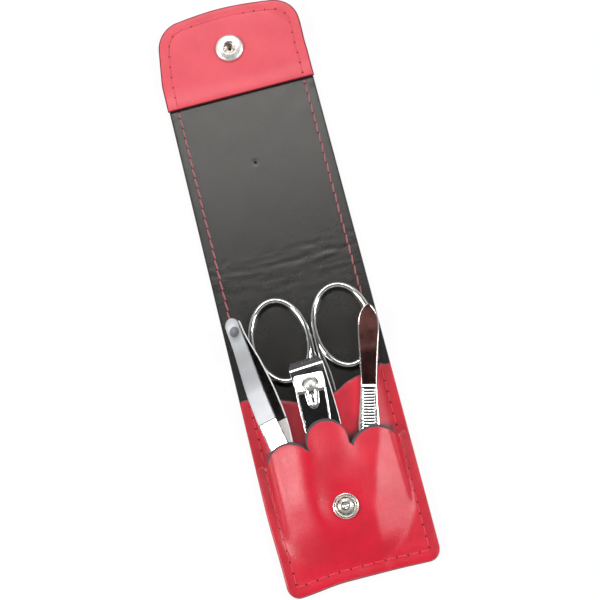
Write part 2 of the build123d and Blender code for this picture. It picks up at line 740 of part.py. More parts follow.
# ---------------------------------------------------------------- nail file
def nail_file():
    """Flat file: pointed head, narrow waist, ridged blade with bevelled edges."""
    head, waist, blade, end = file_head_w / 2, file_waist_w / 2, file_blade_w / 2, file_end_w / 2
    side = [(0, 0), (0.62 * head, -3.4), (head, -8.6), (0.9 * head, -15.0), (waist + 0.1, -24.0),
            (waist, -32.0), (waist + 0.3, -38.0), (blade, -50.0), (blade - 0.2, -60.0),
            (end + 0.7, -file_length + 8), (end, -file_length + 2)]
    right = Spline(*side)
    left = Spline(*[(-x, y) for x, y in side])
    tail = ThreePointArc((end, 2 - file_length), (0, -file_length), (-end, 2 - file_length))
    body = extrude(make_face([right, tail, left]), file_t, dir=(0, 0, 1))
    body = chamfer(body.faces().sort_by(Axis.Z)[-1].edges(), file_bevel)
    count = int((ridge_end - ridge_start) / ridge_pitch)
    grooves = []
    for i in range(count):
        y = -ridge_start - i * ridge_pitch
        width = ridge_band_w + (ridge_band_end_w - ridge_band_w) * i / count
        grooves.append(block(-width / 2, width / 2, y - ridge_pitch / 2, y, file_t - ridge_depth, file_t + 1))
    step = block(-waist, waist, -ridge_start + 0.5, -ridge_start + 0.8, file_t - ridge_depth, file_t + 1)
    body = body - grooves - step
    return Pos(half_w - file_inset, y_low + file_from_end, z_tools) * Rot(0, 0, -file_lean) * one(body)


# ---------------------------------------------------------------- write the parts
PARTS = {
    "back_outer": back_outer,
    "back_lining": back_lining,
    "rear_pocket": rear_pocket,
    "front_pocket": front_pocket,
    "back_thread": lambda: thread("back"),
    "snap_stud": snap_stud,
    "snap_post": snap_post,
    "spine_outer": spine_outer,
    "spine_lining": spine_lining,
    "spine_thread": lambda: thread("spine"),
    "cover_outer": cover_outer,
    "cover_lining": cover_lining,
    "tab_facing": tab_facing,
    "cover_thread": lambda: thread("cover", "tab"),
    "snap_socket": snap_socket,
    "snap_spring": snap_spring,
    "snap_cap": snap_cap,
    "scissor_left": scissor_left,
    "scissor_right": scissor_right,
    "scissor_screw": scissor_screw,
    "clipper_lower": clipper_lower,
    "clipper_upper": clipper_upper,
    "clipper_pin": clipper_pin,
    "clipper_rivet": clipper_rivet,
    "clipper_lever": clipper_lever,
    "tweezer_front_arm": tweezer_front_arm,
    "tweezer_rear_arm": tweezer_rear_arm,
    "tweezer_rivet": tweezer_rivet,
    "nail_file": nail_file,
}

os.makedirs("parts", exist_ok=True)
for name, make in PARTS.items():
    export_step(make(), f"parts/{name}.step")
    print(name)
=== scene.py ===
"""Looks of the folding leather manicure set case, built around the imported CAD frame.

Lengths are written in millimetres and scaled once, where a mesh is made. +Z up, +Y towards the snap tab.
"""
import math
import random

import bmesh
import bpy
import numpy as np
from mathutils import Matrix, Vector, noise
from mathutils.geometry import delaunay_2d_cdt


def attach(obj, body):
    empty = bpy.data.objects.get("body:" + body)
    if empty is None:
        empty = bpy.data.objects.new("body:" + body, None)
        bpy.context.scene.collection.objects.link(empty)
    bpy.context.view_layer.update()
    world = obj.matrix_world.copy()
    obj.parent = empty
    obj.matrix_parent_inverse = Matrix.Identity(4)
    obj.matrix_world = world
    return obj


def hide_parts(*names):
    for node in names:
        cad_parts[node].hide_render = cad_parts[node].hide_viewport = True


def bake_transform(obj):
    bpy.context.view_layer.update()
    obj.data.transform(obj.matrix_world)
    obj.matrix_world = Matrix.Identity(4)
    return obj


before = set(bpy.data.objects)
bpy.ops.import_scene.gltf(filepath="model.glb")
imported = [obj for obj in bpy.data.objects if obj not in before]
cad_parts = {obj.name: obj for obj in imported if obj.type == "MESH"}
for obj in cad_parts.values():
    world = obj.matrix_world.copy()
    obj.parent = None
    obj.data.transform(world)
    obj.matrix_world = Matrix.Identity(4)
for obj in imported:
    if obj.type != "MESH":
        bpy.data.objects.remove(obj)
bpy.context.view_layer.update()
random.seed(7)

MM = 0.001

# ---------------- places shared with the CAD model
HALF_W = 31.0
Y_LOW = -122.61
TOP_Y = 122.61
FOLD_1 = -3.362
FOLD_2 = 11.638
MID_SPINE = 0.5 * (FOLD_1 + FOLD_2)
BEND_Y = 84.012
TAB = math.radians(6.0)
SNAP_RUN = 20.4                     # from the bend to the snap
Z_OUTER = 1.2
Z_LINING = 2.0
Z_FACING = 3.0
Z_REAR = 2.9
STUD_Y, STUD_Z = -95.612, 10.939
FRONT_SIDE = -71.0                  # where the pockets' mouths meet the sides
REAR_SIDE = -43.3
SEAM_INSET = 4.0
NICK_X, NICK_Y = -1.3, 53.1


def tab_bend(p):
    """A point of the flat case, moved to where the standing bend of the tab puts it."""
    x, y, z = p
    if y <= BEND_Y:
        return p
    along, up = y - BEND_Y, z - Z_LINING
    return (x, BEND_Y + along * math.cos(TAB) - up * math.sin(TAB),
            Z_LINING + along * math.sin(TAB) + up * math.cos(TAB))


# ---------------- curves
def smooth_step(a, b, x):
    """0 up to a, 1 from b on, and an even S between them."""
    t = min(max((x - a) / (b - a), 0.0), 1.0)
    return t * t * (3 - 2 * t)


def turns(count):
    """Angles that divide one turn evenly."""
    return [2 * math.pi * i / count for i in range(count)]


def arc(cx, cy, r, a0, a1, steps):
    """Points of an arc, angles in degrees."""
    angles = [math.radians(a0 + (a1 - a0) * i / steps) for i in range(steps + 1)]
    return [(cx + r * math.cos(a), cy + r * math.sin(a)) for a in angles]


def arc_through(a, b, c, steps):
    """Points of the arc from a through b to c."""
    ax, ay, bx, by, cx, cy = *a, *b, *c
    d = 2 * (ax * (by - cy) + bx * (cy - ay) + cx * (ay - by))
    aa, bb, cc = ax ** 2 + ay ** 2, bx ** 2 + by ** 2, cx ** 2 + cy ** 2
    ux = (aa * (by - cy) + bb * (cy - ay) + cc * (ay - by)) / d
    uy = (aa * (cx - bx) + bb * (ax - cx) + cc * (bx - ax)) / d
    r = math.hypot(ax - ux, ay - uy)
    t0, t1, t2 = (math.atan2(q - uy, p - ux) for p, q in (a, b, c))
    turn = (t2 - t0) % (2 * math.pi)
    if (t1 - t0) % (2 * math.pi) > turn:
        turn -= 2 * math.pi
    angles = [t0 + turn * i / steps for i in range(steps + 1)]
    return [(ux + r * math.cos(t), uy + r * math.sin(t)) for t in angles]


def spread(points, step):
    """An open polyline divided evenly, corners kept."""
    out = []
    for (a, b), (c, d) in zip(points, points[1:]):
        count = max(1, round(math.hypot(c - a, d - b) / step))
        out += [(a + (c - a) * i / count, b + (d - b) * i / count) for i in range(count)]
    return out + [points[-1]]


def rounded_rect(half_w, z0, z1, r, steps=4):
    """Section (x, z) of a flat bar with round corners."""
    r = min(r, half_w * 0.98, (z1 - z0) * 0.49)
    right, high, low = half_w - r, z1 - r, z0 + r
    out = []
    for cx, cz, start in ((right, high, 0), (-right, high, 90), (-right, low, 180), (right, low, 270)):
        out += arc(cx, cz, r, start, start + 90, steps)
    return out


def rounded(points, r, steps=4):
    """A (radius, z) profile with every corner rounded."""
    out = [points[0]]
    for a, b, c in zip(points, points[1:], points[2:]):
        pa, pb, pc = Vector(a), Vector(b), Vector(c)
        k = min(r, 0.45 * (pb - pa).length, 0.45 * (pc - pb).length)
        s, e = pb + (pa - pb).normalized() * k, pb + (pc - pb).normalized() * k
        for i in range(steps + 1):
            t = i / steps
            out.append(tuple(s * (1 - t) ** 2 + pb * 2 * t * (1 - t) + e * t * t))
    return out + [points[-1]]


def catmull(points, per):
    """Smooth line through points."""
    ends = [points[0]] + points + [points[-1]]
    out = []
    for four in zip(ends, ends[1:], ends[2:], ends[3:]):
        p0, p1, p2, p3 = (Vector(p) for p in four)
        for k in range(per):
            t = k / per
            out.append(0.5 * ((2 * p1) + (p2 - p0) * t + (2 * p0 - 5 * p1 + 4 * p2 - p3) * t * t
                              + (3 * p1 - p0 - 3 * p2 + p3) * t ** 3))
    return [tuple(p) for p in out + [Vector(points[-1])]]


def monotone(xs, ys):
    """A smooth curve through points that never overshoots them, as a function."""
    xs, ys = np.array(xs, float), np.array(ys, float)
    h, d = np.diff(xs), np.diff(ys) / np.diff(xs)
    m = np.zeros(len(xs))
    for i in range(1, len(xs) - 1):
        if d[i - 1] * d[i] > 0:
            w1, w2 = 2 * h[i] + h[i - 1], h[i] + 2 * h[i - 1]
            m[i] = (w1 + w2) / (w1 / d[i - 1] + w2 / d[i])
    m[0], m[-1] = d[0], d[-1]

    def value(x):
        x = min(max(x, xs[0]), xs[-1])
        i = min(int(np.searchsorted(xs, x, side="right")) - 1, len(h) - 1)
        t = (x - xs[i]) / h[i]
        return float((2 * t ** 3 - 3 * t ** 2 + 1) * ys[i] + (t ** 3 - 2 * t ** 2 + t) * h[i] * m[i]
                     + (-2 * t ** 3 + 3 * t ** 2) * ys[i + 1] + (t ** 3 - t ** 2) * h[i] * m[i + 1])

    return value


def table(pairs):
    """A smooth function through (place, value) pairs in any order."""
    return monotone(*zip(*sorted(pairs)))


# ---------------- mesh helpers
def change(mesh, *steps):
    """Edit a mesh with steps that each take it as a bmesh."""
    bm = bmesh.new()
    bm.from_mesh(mesh)
    for step in steps:
        step(bm)
    bm.to_mesh(mesh)
    bm.free()


def face_out(bm):
    bmesh.ops.recalc_face_normals(bm, faces=bm.faces)


def weld(bm):
    bmesh.ops.remove_doubles(bm, verts=bm.verts, dist=1e-7)


def place_in_scene(name, data):
    obj = bpy.data.objects.new(name, data)
    bpy.context.scene.collection.objects.link(obj)
    return obj


def make(name, verts, faces, materials, body, *steps):
    """A smooth mesh object from millimetres.

    It remembers where each point lies at rest, for patterns that must not swim when a body moves.
    """
    mesh = bpy.data.meshes.new(name)
    mesh.from_pydata([tuple(c * MM for c in v) for v in verts], [], faces)
    mesh.validate()
    obj = place_in_scene(name, mesh)
    for m in materials if isinstance(materials, list) else [materials]:
        mesh.materials.append(m)
    mesh.polygons.foreach_set("use_smooth", [True] * len(mesh.polygons))
    change(mesh, *steps, face_out)
    attribute = mesh.attributes.new("rest", "FLOAT_VECTOR", "POINT")
    attribute.data.foreach_set("vector", np.array([v.co for v in mesh.vertices], np.float32).ravel())
    if body:
        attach(obj, body)
    return obj


def bands(count, n, closed=False):
    """Faces between neighbouring rings of n points each."""
    faces = []
    for i in range(count if closed else count - 1):
        a, b = i * n, (i + 1) % count * n
        faces += [(a + k, a + (k + 1) % n, b + (k + 1) % n, b + k) for k in range(n)]
    return faces


def join_rings(rings, closed=False):
    """Points and faces of a skin over rings of equal length, capped where it isn't closed on itself."""
    n, count = len(rings[0]), len(rings)
    faces = bands(count, n, closed)
    if not closed:
        faces += [tuple(range(n))[::-1], tuple((count - 1) * n + k for k in range(n))]
    return [p for ring in rings for p in ring], faces


def lathe(name, profile, metal, body, place, steps=64):
    """A turned piece from (radius, z) points, moved by place."""
    rings = []
    for a in turns(steps):
        rings.append([tuple(place @ Vector((r * math.cos(a), r * math.sin(a), z))) for r, z in profile])
    verts, faces = join_rings(rings, closed=True)
    n = len(profile)
    return make(name, verts, [f for f in faces if f[0] % n < n - 1], metal, body, weld)


def inward_of(plan):
    """Unit directions into a counterclockwise plan, one for each of its points."""
    along = np.roll(plan, -1, 0) - np.roll(plan, 1, 0)
    return np.stack([-along[:, 1], along[:, 0]], 1) / np.linalg.norm(along, axis=1)[:, None]


def inside(points, outline, clear):
    """The points inside an outline and at least this far from it."""
    x, y = points[:, 0], points[:, 1]
    hit = np.zeros(len(points), bool)
    for (a, b), (c, d) in zip(outline, np.roll(outline, -1, 0)):
        if b != d:
            hit ^= ((b > y) != (d > y)) & (x < (c - a) * (y - b) / (d - b) + a)
    points = points[hit]
    keep = np.ones(len(points), bool)
    for a, b in outline:
        keep &= np.hypot(points[:, 0] - a, points[:, 1] - b) > clear
    return points[keep]


TOP, EDGED, UNDER = 0, 1, 2         # the sides of a panel, in the order of its materials


def skin(name, outline, top, under, materials, body, rim, steps, rows=None, facing=None, hole=None):
    """A panel of leather: its plan outline, counterclockwise, its two faces' heights and its rim.

    rim is a list of (inset, share of the thickness) from the underside round to the top face, full where the
    edge looks along facing. rows are the levels of the inner points. hole is a punched one's (x, y, radius).
    """
    plan = np.array(outline, float)
    inward = inward_of(plan)
    n = len(plan)
    verts, flat = [], []

    def add(x, y, share):
        low, high = under(x, y), top(x, y)
        verts.append(tab_bend((x, y, low + share * (high - low))))
        flat.append((x, y))

    def clear_of_hole(x, y, gap):
        return not hole or math.hypot(x - hole[0], y - hole[1]) > hole[2] + gap

    wide = np.ones(n)
    if facing:
        looks = [-(v[0] * facing[0] + v[1] * facing[1]) for v in inward]
        wide = np.array([0.3 + 0.7 * smooth_step(-0.1, 0.7, share) for share in looks])
    for inset, share in rim:
        for x, y in plan + inward * inset * wide[:, None]:
            add(x, y, share)
    faces = bands(len(rim), n)
    kind = [EDGED] * len(faces)
    lo, hi = plan.min(0), plan.max(0)
    grid = []
    for i, y in enumerate(rows or np.arange(lo[1], hi[1], steps)):
        grid += [(x + (0.5 * steps if i % 2 else 0), y) for x in np.arange(lo[0], hi[0], steps)]
    grid = inside(np.array(grid), plan, 0.55 * steps + max(r[0] for r in rim))
    grid = [p for p in grid if clear_of_hole(*p, 0.4 * steps)]
    punched = arc(*hole, 0, 360, 40)[:-1] if hole else []
    m = len(punched)
    walls = []
    for start, share, side in ((0, 0.0, UNDER), ((len(rim) - 1) * n, 1.0, TOP)):
        points = [Vector(p) for p in flat[start:start + n] + punched + grid]
        edges = [(k, (k + 1) % n) for k in range(n)] + [(n + k, n + (k + 1) % m) for k in range(m)]
        found, _, tris, origin, _, _ = delaunay_2d_cdt(points, edges, [], 1, 1e-5)
        index, wall = [], [None] * m
        for v, sources in zip(found, origin):
            on_rim = [s for s in sources if s < n]
            if on_rim:
                index.append(start + on_rim[0])
                continue
            for s in sources:
                if n <= s < n + m:
                    wall[s - n] = len(verts)
            index.append(len(verts))
            add(v.x, v.y, share)
        walls.append(wall)
        for tri in tris:
            middle = sum((found[k] for k in tri), Vector((0, 0))) / 3
            if clear_of_hole(*middle, 0.0):
                faces.append([index[k] for k in tri])
                kind.append(side)
    for k in range(m):
        j = (k + 1) % m
        faces.append((walls[0][k], walls[0][j], walls[1][j], walls[1][k]))
        kind.append(EDGED)
    obj = make(name, verts, faces, materials, None)
    obj.data.polygons.foreach_set("material_index", kind)
    if body:
        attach(obj, body)
    return obj


# ---------------- plan of the case
CORNER_R = 5.0
TAB_CORNER_R = 11.5
TIP_X, TIP_Y = 28.8, TOP_Y - 3.0    # where the tapered side would meet the crowned tip
CROWN_R = (TIP_X ** 2 + 3.0 ** 2) / 6.0
CROWN_Y = TOP_Y - CROWN_R
TAPER_Y = TOP_Y - 27.0


def tab_corner():
    """Middle and end directions of the tab's right corner round, which touches the side and the tip."""
    foot, crown = Vector((HALF_W, TAPER_Y)), Vector((0, CROWN_Y))
    side = (Vector((TIP_X, TIP_Y)) - foot).normalized()
    inward = Vector((-side.y, side.x))
    low, high = 0.0, 30.0
    for _ in range(40):
        s = 0.5 * (low + high)
        p = foot + side * s + inward * TAB_CORNER_R
        if (p - crown).length < CROWN_R - TAB_CORNER_R:
            low = s
        else:
            high = s
    return p, -inward, (p - crown).normalized()


def mirrored(points):
    return [(-x, y) for x, y in reversed(points)]


def case_plan(low_y, high_y, grow=0.0):
    """Plan of the case between two levels, from its lower left, counterclockwise; grow widens its sides."""
    w = HALF_W + grow
    at_end = low_y < Y_LOW + 0.01
    left = arc(-w + CORNER_R, Y_LOW + CORNER_R, CORNER_R, 180, 270, 8) if at_end else [(-w, low_y)]
    points = left + mirrored(left)
    if high_y > TOP_Y - 1:
        middle, first, last = tab_corner()
        a0 = math.degrees(math.atan2(first.y, first.x))
        a1 = math.degrees(math.atan2(last.y, last.x))
        side = [(w, TAPER_Y)] if low_y < TAPER_Y else []
        side += arc(middle.x + grow * 0.6, middle.y, TAB_CORNER_R, a0, a1, 12)
        points += side + arc(0, CROWN_Y, CROWN_R, a1, 180 - a1, 40)[1:-1] + mirrored(side)
    else:
        points += [(w, high_y), (-w, high_y)]
    return [warp(p) for p in spread(points + [points[0]], 1.4)[:-1]]


def warp(p):
    """The case's plan is not quite true: its cut end is wavy and its tab leans to one side."""
    x, y = p
    low = smooth_step(-98, -121, y)
    y2 = y - low * (1.9 * smooth_step(-6, -30, x) + 0.4 * smooth_step(12, 30, x))
    x2 = x + 1.0 * smooth_step(-88, -118, y) * smooth_step(-2, -30, x)
    x2 += 0.9 * smooth_step(92, 120, y) + 0.8 * smooth_step(96, 110, y) * smooth_step(5, 30, x)
    y2 -= 0.6 * smooth_step(100, 120, y) * smooth_step(-5, 25, x)
    return (x2, y2)


# Rims of the panels: (inset, share of the thickness) from the underside to the top.
RIM = ((0.35, 0.0), (0.08, 0.12), (0.0, 0.35), (0.0, 0.65), (0.09, 0.9), (0.35, 1.0))
MOUTH_RIM = ((0.30, 0.0), (0.04, 0.12), (0.0, 0.3), (0.22, 0.55), (0.60, 0.82), (0.95, 0.97), (1.15, 1.0))
SOFT_RIM = ((0.3, 0.0), (0.06, 0.1), (0.0, 0.3), (0.0, 0.7), (0.12, 0.92), (0.5, 1.0))


# ---------------- material helpers
class Web:
    """Short ways to wire the nodes of a material or of the world; each gives an output to link on."""

    def __init__(self, tree):
        self.tree = tree
        self.shader = tree.nodes.get("Principled BSDF")

    def put(self, socket, value):
        """Set an input to a value, or link it to another node's output."""
        if isinstance(value, bpy.types.NodeSocket):
            self.tree.links.new(value, socket)
        else:
            socket.default_value = value

    def add(self, kind, *inputs, out=0, **named):
        """A node's output, from its settings, its first inputs in order and other inputs by name."""
        node = self.tree.nodes.new(kind)
        for key, value in named.items():
            if hasattr(node, key):
                setattr(node, key, value)
            else:
                self.put(node.inputs[key.replace("_", " ")], value)
        for socket, value in zip(node.inputs, inputs):
            self.put(socket, value)
        return node.outputs[out]

    def feed(self, **sockets):
        for key, value in sockets.items():
            self.put(self.shader.inputs[key.replace("_", " ")], value)

    def rest(self):
        """Where each point lies at rest."""
        return self.add("ShaderNodeAttribute", attribute_name="rest", out="Vector")

    def noise(self, scale, detail, rough=0.5, stretch=(1.0, 1.0, 1.0)):
        place = self.add("ShaderNodeVectorMath", self.rest(), stretch, operation="MULTIPLY")
        return self.add("ShaderNodeTexNoise", place, Scale=scale, Detail=detail, Roughness=rough, out="Fac")

    def ramp(self, source, *stops):
        """A colour or a plain level for each place on the ramp."""
        out = self.add("ShaderNodeValToRGB", source)
        elements = out.node.color_ramp.elements
        while len(elements) < len(stops):
            elements.new(0.5)
        for element, (at, tone) in zip(elements, stops):
            element.position = at
            element.color = (*tone, 1) if isinstance(tone, tuple) else (tone, tone, tone, 1)
        return out

    def bump(self, height, strength, distance, **below):
        return self.add("ShaderNodeBump", Height=height, Strength=strength, Distance=distance, **below)

    def run(self, axis, low, high, first, last):
        """A share that runs evenly between two levels in Y, or between two distances from the middle in X."""
        place = self.add("ShaderNodeSeparateXYZ", self.rest(), out=axis)
        if axis == "X":
            place = self.add("ShaderNodeMath", place, operation="ABSOLUTE")
        return self.add("ShaderNodeMapRange", place, low * MM, high * MM, first, last)

    def scale(self, socket, by):
        """Scale what feeds a socket of the shader."""
        into = self.shader.inputs[socket]
        fed = into.links[0].from_socket
        self.put(into, self.add("ShaderNodeVectorMath", fed, operation="SCALE", Scale=by))


def material(name, colour, metal, rough, **sockets):
    """A node material with its plain values set on the shader's own sockets."""
    m = bpy.data.materials.new(name)
    m.use_nodes = True
    shader = m.node_tree.nodes["Principled BSDF"]
    shader.inputs["Base Color"].default_value = (*colour, 1)
    shader.inputs["Metallic"].default_value = metal
    shader.inputs["Roughness"].default_value = rough
    for key, value in sockets.items():
        shader.inputs[key.replace("_", " ")].default_value = value
    return m


def darker(colour, share):
    return tuple(c * share for c in colour)


def leather(name, dark, light, rough, grain=1500.0, depth=0.5, shine=0.5, **sockets):
    """Smooth grained leather: fine pebbles, pores, cloudy tone and handling marks."""
    m = material(name, light, 0.0, 0.42, Specular_IOR_Level=shine, **sockets)
    w = Web(m.node_tree)
    fine = w.noise(2600.0, 2.0)
    cloud = w.add("ShaderNodeMath", fine, 0.35, w.noise(70.0, 4.0, 0.6), operation="MULTIPLY_ADD")
    cells = w.add("ShaderNodeTexVoronoi", w.rest(), feature="DISTANCE_TO_EDGE", Scale=grain, out="Distance")
    pebbles = w.bump(w.ramp(cells, (0.0, 0.0), (0.25, 1.0)), depth * 0.35, 0.00006)
    pores = w.bump(fine, depth * 0.25, 0.0001, Normal=pebbles)
    w.feed(Base_Color=w.ramp(cloud, (0.45, dark), (0.85, light)),
           Roughness=w.ramp(w.noise(160.0, 5.0, 0.65), (0.3, rough[0]), (0.75, rough[1])),
           Normal=w.bump(w.noise(330.0, 4.0, 0.6), depth * 0.5, 0.00018, Normal=pores))
    return m


def steel(name, colour, rough, brushed=(900.0, 900.0, 900.0), cloud=0.06, depth=0.05, vary=(0.75, 1.5),
          metal=1.0):
    """Plated or ground metal: fine scratches, faint stains and uneven polish."""
    m = material(name, colour, metal, rough)
    w = Web(m.node_tree)
    w.feed(Base_Color=w.ramp(w.noise(180.0, 5.0, 0.6), (0.3, darker(colour, 1 - cloud * 3)), (0.6, colour)),
           Roughness=w.ramp(w.noise(420.0, 4.0, 0.6), (0.3, rough * vary[0]), (0.75, rough * vary[1])),
           Normal=w.bump(w.noise(1.0, 3.0, 0.6, brushed), depth, 0.00004))
    return m


def cut_edge(name, colour):
    """Raw cut edge of leather: short fibres."""
    m = material(name, colour, 0.0, 0.8)
    w = Web(m.node_tree)
    fibres = w.noise(1900.0, 4.0, 0.7)
    w.feed(Base_Color=w.ramp(fibres, (0.35, darker(colour, 0.6)), (0.65, colour)),
           Normal=w.bump(fibres, 0.5, 0.0001))
    return m


def yarn(name, colour, shade):
    """Twisted sewing thread, its grooves painted darker by a share: painted shade."""
    m = material(name, colour, 0.0, 0.6, Sheen_Weight=0.3)
    w = Web(m.node_tree)
    twist = w.add("ShaderNodeTexWave", w.rest(), bands_direction="DIAGONAL", Scale=900.0, Distortion=1.5,
                  out="Fac")
    w.feed(Base_Color=w.ramp(twist, (0.1, darker(colour, shade)), (0.7, colour)),
           Normal=w.bump(twist, 0.6, 0.0001))
    return m


def wear_and_painted_reflection(m, low, high, first, last, socket):
    """Gloss or tone changing along the case: wear in the roughness, a painted dark reflection in the colour.
    """
    w = Web(m.node_tree)
    w.scale(socket, w.run("Y", low, high, first, last))
    return m


def painted_margin_shade(m):
    """Leather painted darker outside the two side seams: a painted shade on the margins."""
    w = Web(m.node_tree)
    w.scale("Base Color", w.run("X", 25.4, 27.4, 1.0, 0.84))
    return m


def painted_pocket_shade(m):
    """Leather painted dark where it enters the pocket, between the two side seams: a painted shade."""
    w = Web(m.node_tree)
    inside_y, inside_x = w.run("Y", -69.5, -65.5, 0.10, 1.0), w.run("X", 24.6, 26.1, 0.0, 1.0)
    w.scale("Base Color", w.add("ShaderNodeMath", inside_y, inside_x, operation="MAXIMUM"))
    return m


# The front pocket's red leather, painted darker on its margins: painted shade.
RED = painted_margin_shade(leather("red_leather", (0.49, 0.002, 0.017), (0.61, 0.004, 0.026), (0.36, 0.44), depth=0.8,
                        shine=0.6))
# The tab's leather: a lighter copy of the red leather that stands for its sheen, painted light.
PAINTED_SHEEN_RED = leather("red_leather_tab_painted_sheen", (0.58, 0.050, 0.072), (0.67, 0.070, 0.095), (0.34, 0.44), depth=0.4)
OUTER = leather("red_leather_outside", (0.54, 0.003, 0.018), (0.66, 0.006, 0.028), (0.34, 0.42))
# The rear pocket's leather, painted darker at the pocket's mouth and on its margins: painted shade.
REAR_RED = painted_pocket_shade(painted_margin_shade(leather("red_leather_rear", (0.50, 0.003, 0.018), (0.62, 0.006, 0.028),
                                           (0.33, 0.41), depth=0.8)))
LINING = wear_and_painted_reflection(leather("black_lining", (0.006, 0.006, 0.006), (0.011, 0.011, 0.010), (0.27, 0.31), 1100.0,
                      0.28, Specular_Tint=(1.0, 0.975, 0.93, 1)), -20.0, 70.0, 0.92, 1.09, "Roughness")
EDGE = cut_edge("leather_edge", (0.22, 0.006, 0.016))
PALE_EDGE = cut_edge("pocket_edge", (0.075, 0.075, 0.085))
SUEDE = cut_edge("leather_back", (0.16, 0.03, 0.045))
BLACK_EDGE = cut_edge("lining_edge", (0.02, 0.018, 0.02))
THREAD = yarn("red_thread", (0.74, 0.026, 0.055), 0.85)
LINING_THREAD = yarn("lining_thread", (0.40, 0.125, 0.13), 0.62)
# The tab's thread is a lighter copy of the red thread, to go with the tab's painted sheen: painted light.
TAB_THREAD_PAINTED_LIGHT = yarn("tab_thread", (0.74, 0.072, 0.10), 0.85)
# Needle holes and the screw's slot: dark discs and bars that stand for the shade inside them, painted shade;
# lighter on the tab.
RECESS_SHADE = material("needle_hole", (0.09, 0.002, 0.007), 0.0, 0.9)
TAB_HOLE_SHADE = material("tab_needle_hole", (0.20, 0.006, 0.016), 0.0, 0.8)
# Near-black painted shadow for gaps, pits and steps.
PAINTED_SHADOW = material("shadow_gap", (0.02, 0.02, 0.022), 0.0, 0.7)
# A near-black disc over the lining's nick: painted shade.
NICK_SHADE = material("deep_nick", (0.004, 0.004, 0.004), 0.0, 0.9, Specular_IOR_Level=0.05)
PLATED = steel("plated_metal", (0.86, 0.86, 0.85), 0.10)
SATIN = steel("satin_steel", (0.30, 0.305, 0.315), 0.50, (1800.0, 120.0, 1800.0), 0.01, 0.006, (0.97, 1.04))
# A darker copy of the satin steel for the tweezers' dimple: painted shade.
DIMPLE_SHADE = steel("satin_steel_dimple", (0.13, 0.135, 0.15), 0.55, cloud=0.02, depth=0.006, vary=(0.97, 1.04))
# A darker copy of the satin steel for the rear tweezer arm, which lies in the front arm's shade: painted
# shade.
PAINTED_SHADE_STEEL = steel("satin_steel_shade", (0.10, 0.10, 0.105), 0.30, (2600.0, 160.0, 2600.0), depth=0.03)
WELL = steel("socket_floor", (0.62, 0.50, 0.43), 0.35, cloud=0.02, depth=0.02)
# Darker steel on the clipper's jaw band: a painted dark reflection.
JAW_PAINTED_REFLECTION = steel("jaw_steel_painted_reflection", (0.24, 0.24, 0.25), 0.22, (160.0, 2600.0, 2600.0), 0.03, 0.02)
BUTTON = steel("snap_metal", (0.92, 0.90, 0.85), 0.34, cloud=0.02, depth=0.02)
STUD_METAL = steel("snap_stud_metal", (0.94, 0.905, 0.835), 0.25, cloud=0.02, depth=0.02)
POLISHED = steel("polished_steel", (0.84, 0.84, 0.85), 0.07)
# Near-white, half-metal steel for thin edges and the rear arm's tip: a painted highlight.
PAINTED_HIGHLIGHT_STEEL = steel("painted_highlight_steel", (0.95, 0.95, 0.94), 0.55, cloud=0.01, depth=0.01, metal=0.35)
FILE = steel("file_steel", (0.80, 0.78, 0.77), 0.10)
# The file's sunk panel, painted darker towards its lower end: a painted dark reflection.
FILE_DARK = wear_and_painted_reflection(steel("file_panel", (0.19, 0.075, 0.065), 0.15, cloud=0.24, metal=0.55),
                 -38.0, -35.5, 0.30, 1.0, "Base Color")
RIDGES = steel("file_ridges", (0.84, 0.83, 0.81), 0.20, cloud=0.02, depth=0.02)
# Darker steel in the file's cross grooves: painted shade.
GROOVE_SHADE = steel("file_grooves", (0.13, 0.125, 0.12), 0.30, cloud=0.02, depth=0.02)


# ---------------- leather sheets across the folds
def over_fold_1(obj):
    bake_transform(obj)


def over_fold_2(obj):
    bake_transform(obj)


def split(obj, name):
    """Cut a sheet at the middle of the spine into two halves, one on each side of it."""
    upper = place_in_scene(name, obj.data.copy())
    for piece, keep_low in ((obj, True), (upper, False)):
        change(piece.data, lambda bm: bmesh.ops.bisect_plane(
            bm, geom=bm.verts[:] + bm.edges[:] + bm.faces[:], plane_co=(0, MID_SPINE * MM, 0),
            plane_no=(0, 1, 0), clear_outer=keep_low, clear_inner=not keep_low))
    over_fold_1(obj)
    over_fold_2(upper)
    return obj, upper


def fold_rows(step, fine):
    """Rows along the case, closer together round the two folds."""
    rows, y = [], Y_LOW - 2.5
    while y < TOP_Y + 1:
        rows.append(y)
        y += fine if FOLD_1 - 9 < y < FOLD_2 + 12 else step
    return rows


def bell(distance, width):
    """A bump of height 1 at distance 0."""
    return math.exp(-(distance / width) ** 2)


def wrinkles(x, y):
    """Shallow cross creases where the open case has been folded."""
    v = noise.noise(Vector((x * 0.09, y * 0.42, 3.1))) + 0.5 * noise.noise(Vector((x * 0.2, y * 0.9, 7.7)))
    return 0.068 * v * bell(y - 6.0, 9.0) * (1.0 - bell(y - MID_SPINE, 1.2))


def lining_top(x, y):
    dent = 0.28 * math.exp(-((x - NICK_X) ** 2 + (y - NICK_Y) ** 2) / 0.5)
    mark = 0.06 * math.exp(-((x + 24 - 0.35 * (y - 14)) ** 2) / 0.16 - ((y - 14) / 1.8) ** 2)
    seam = 0.07 * bell(abs(x) - HALF_W + SEAM_INSET, 0.8) if FOLD_1 - 40 < y < 84 else 0.0
    sides = 0.10 * smooth_step(26, 31, abs(x)) * (y < 80)
    return Z_LINING + wrinkles(x, y) - dent - mark - seam - sides


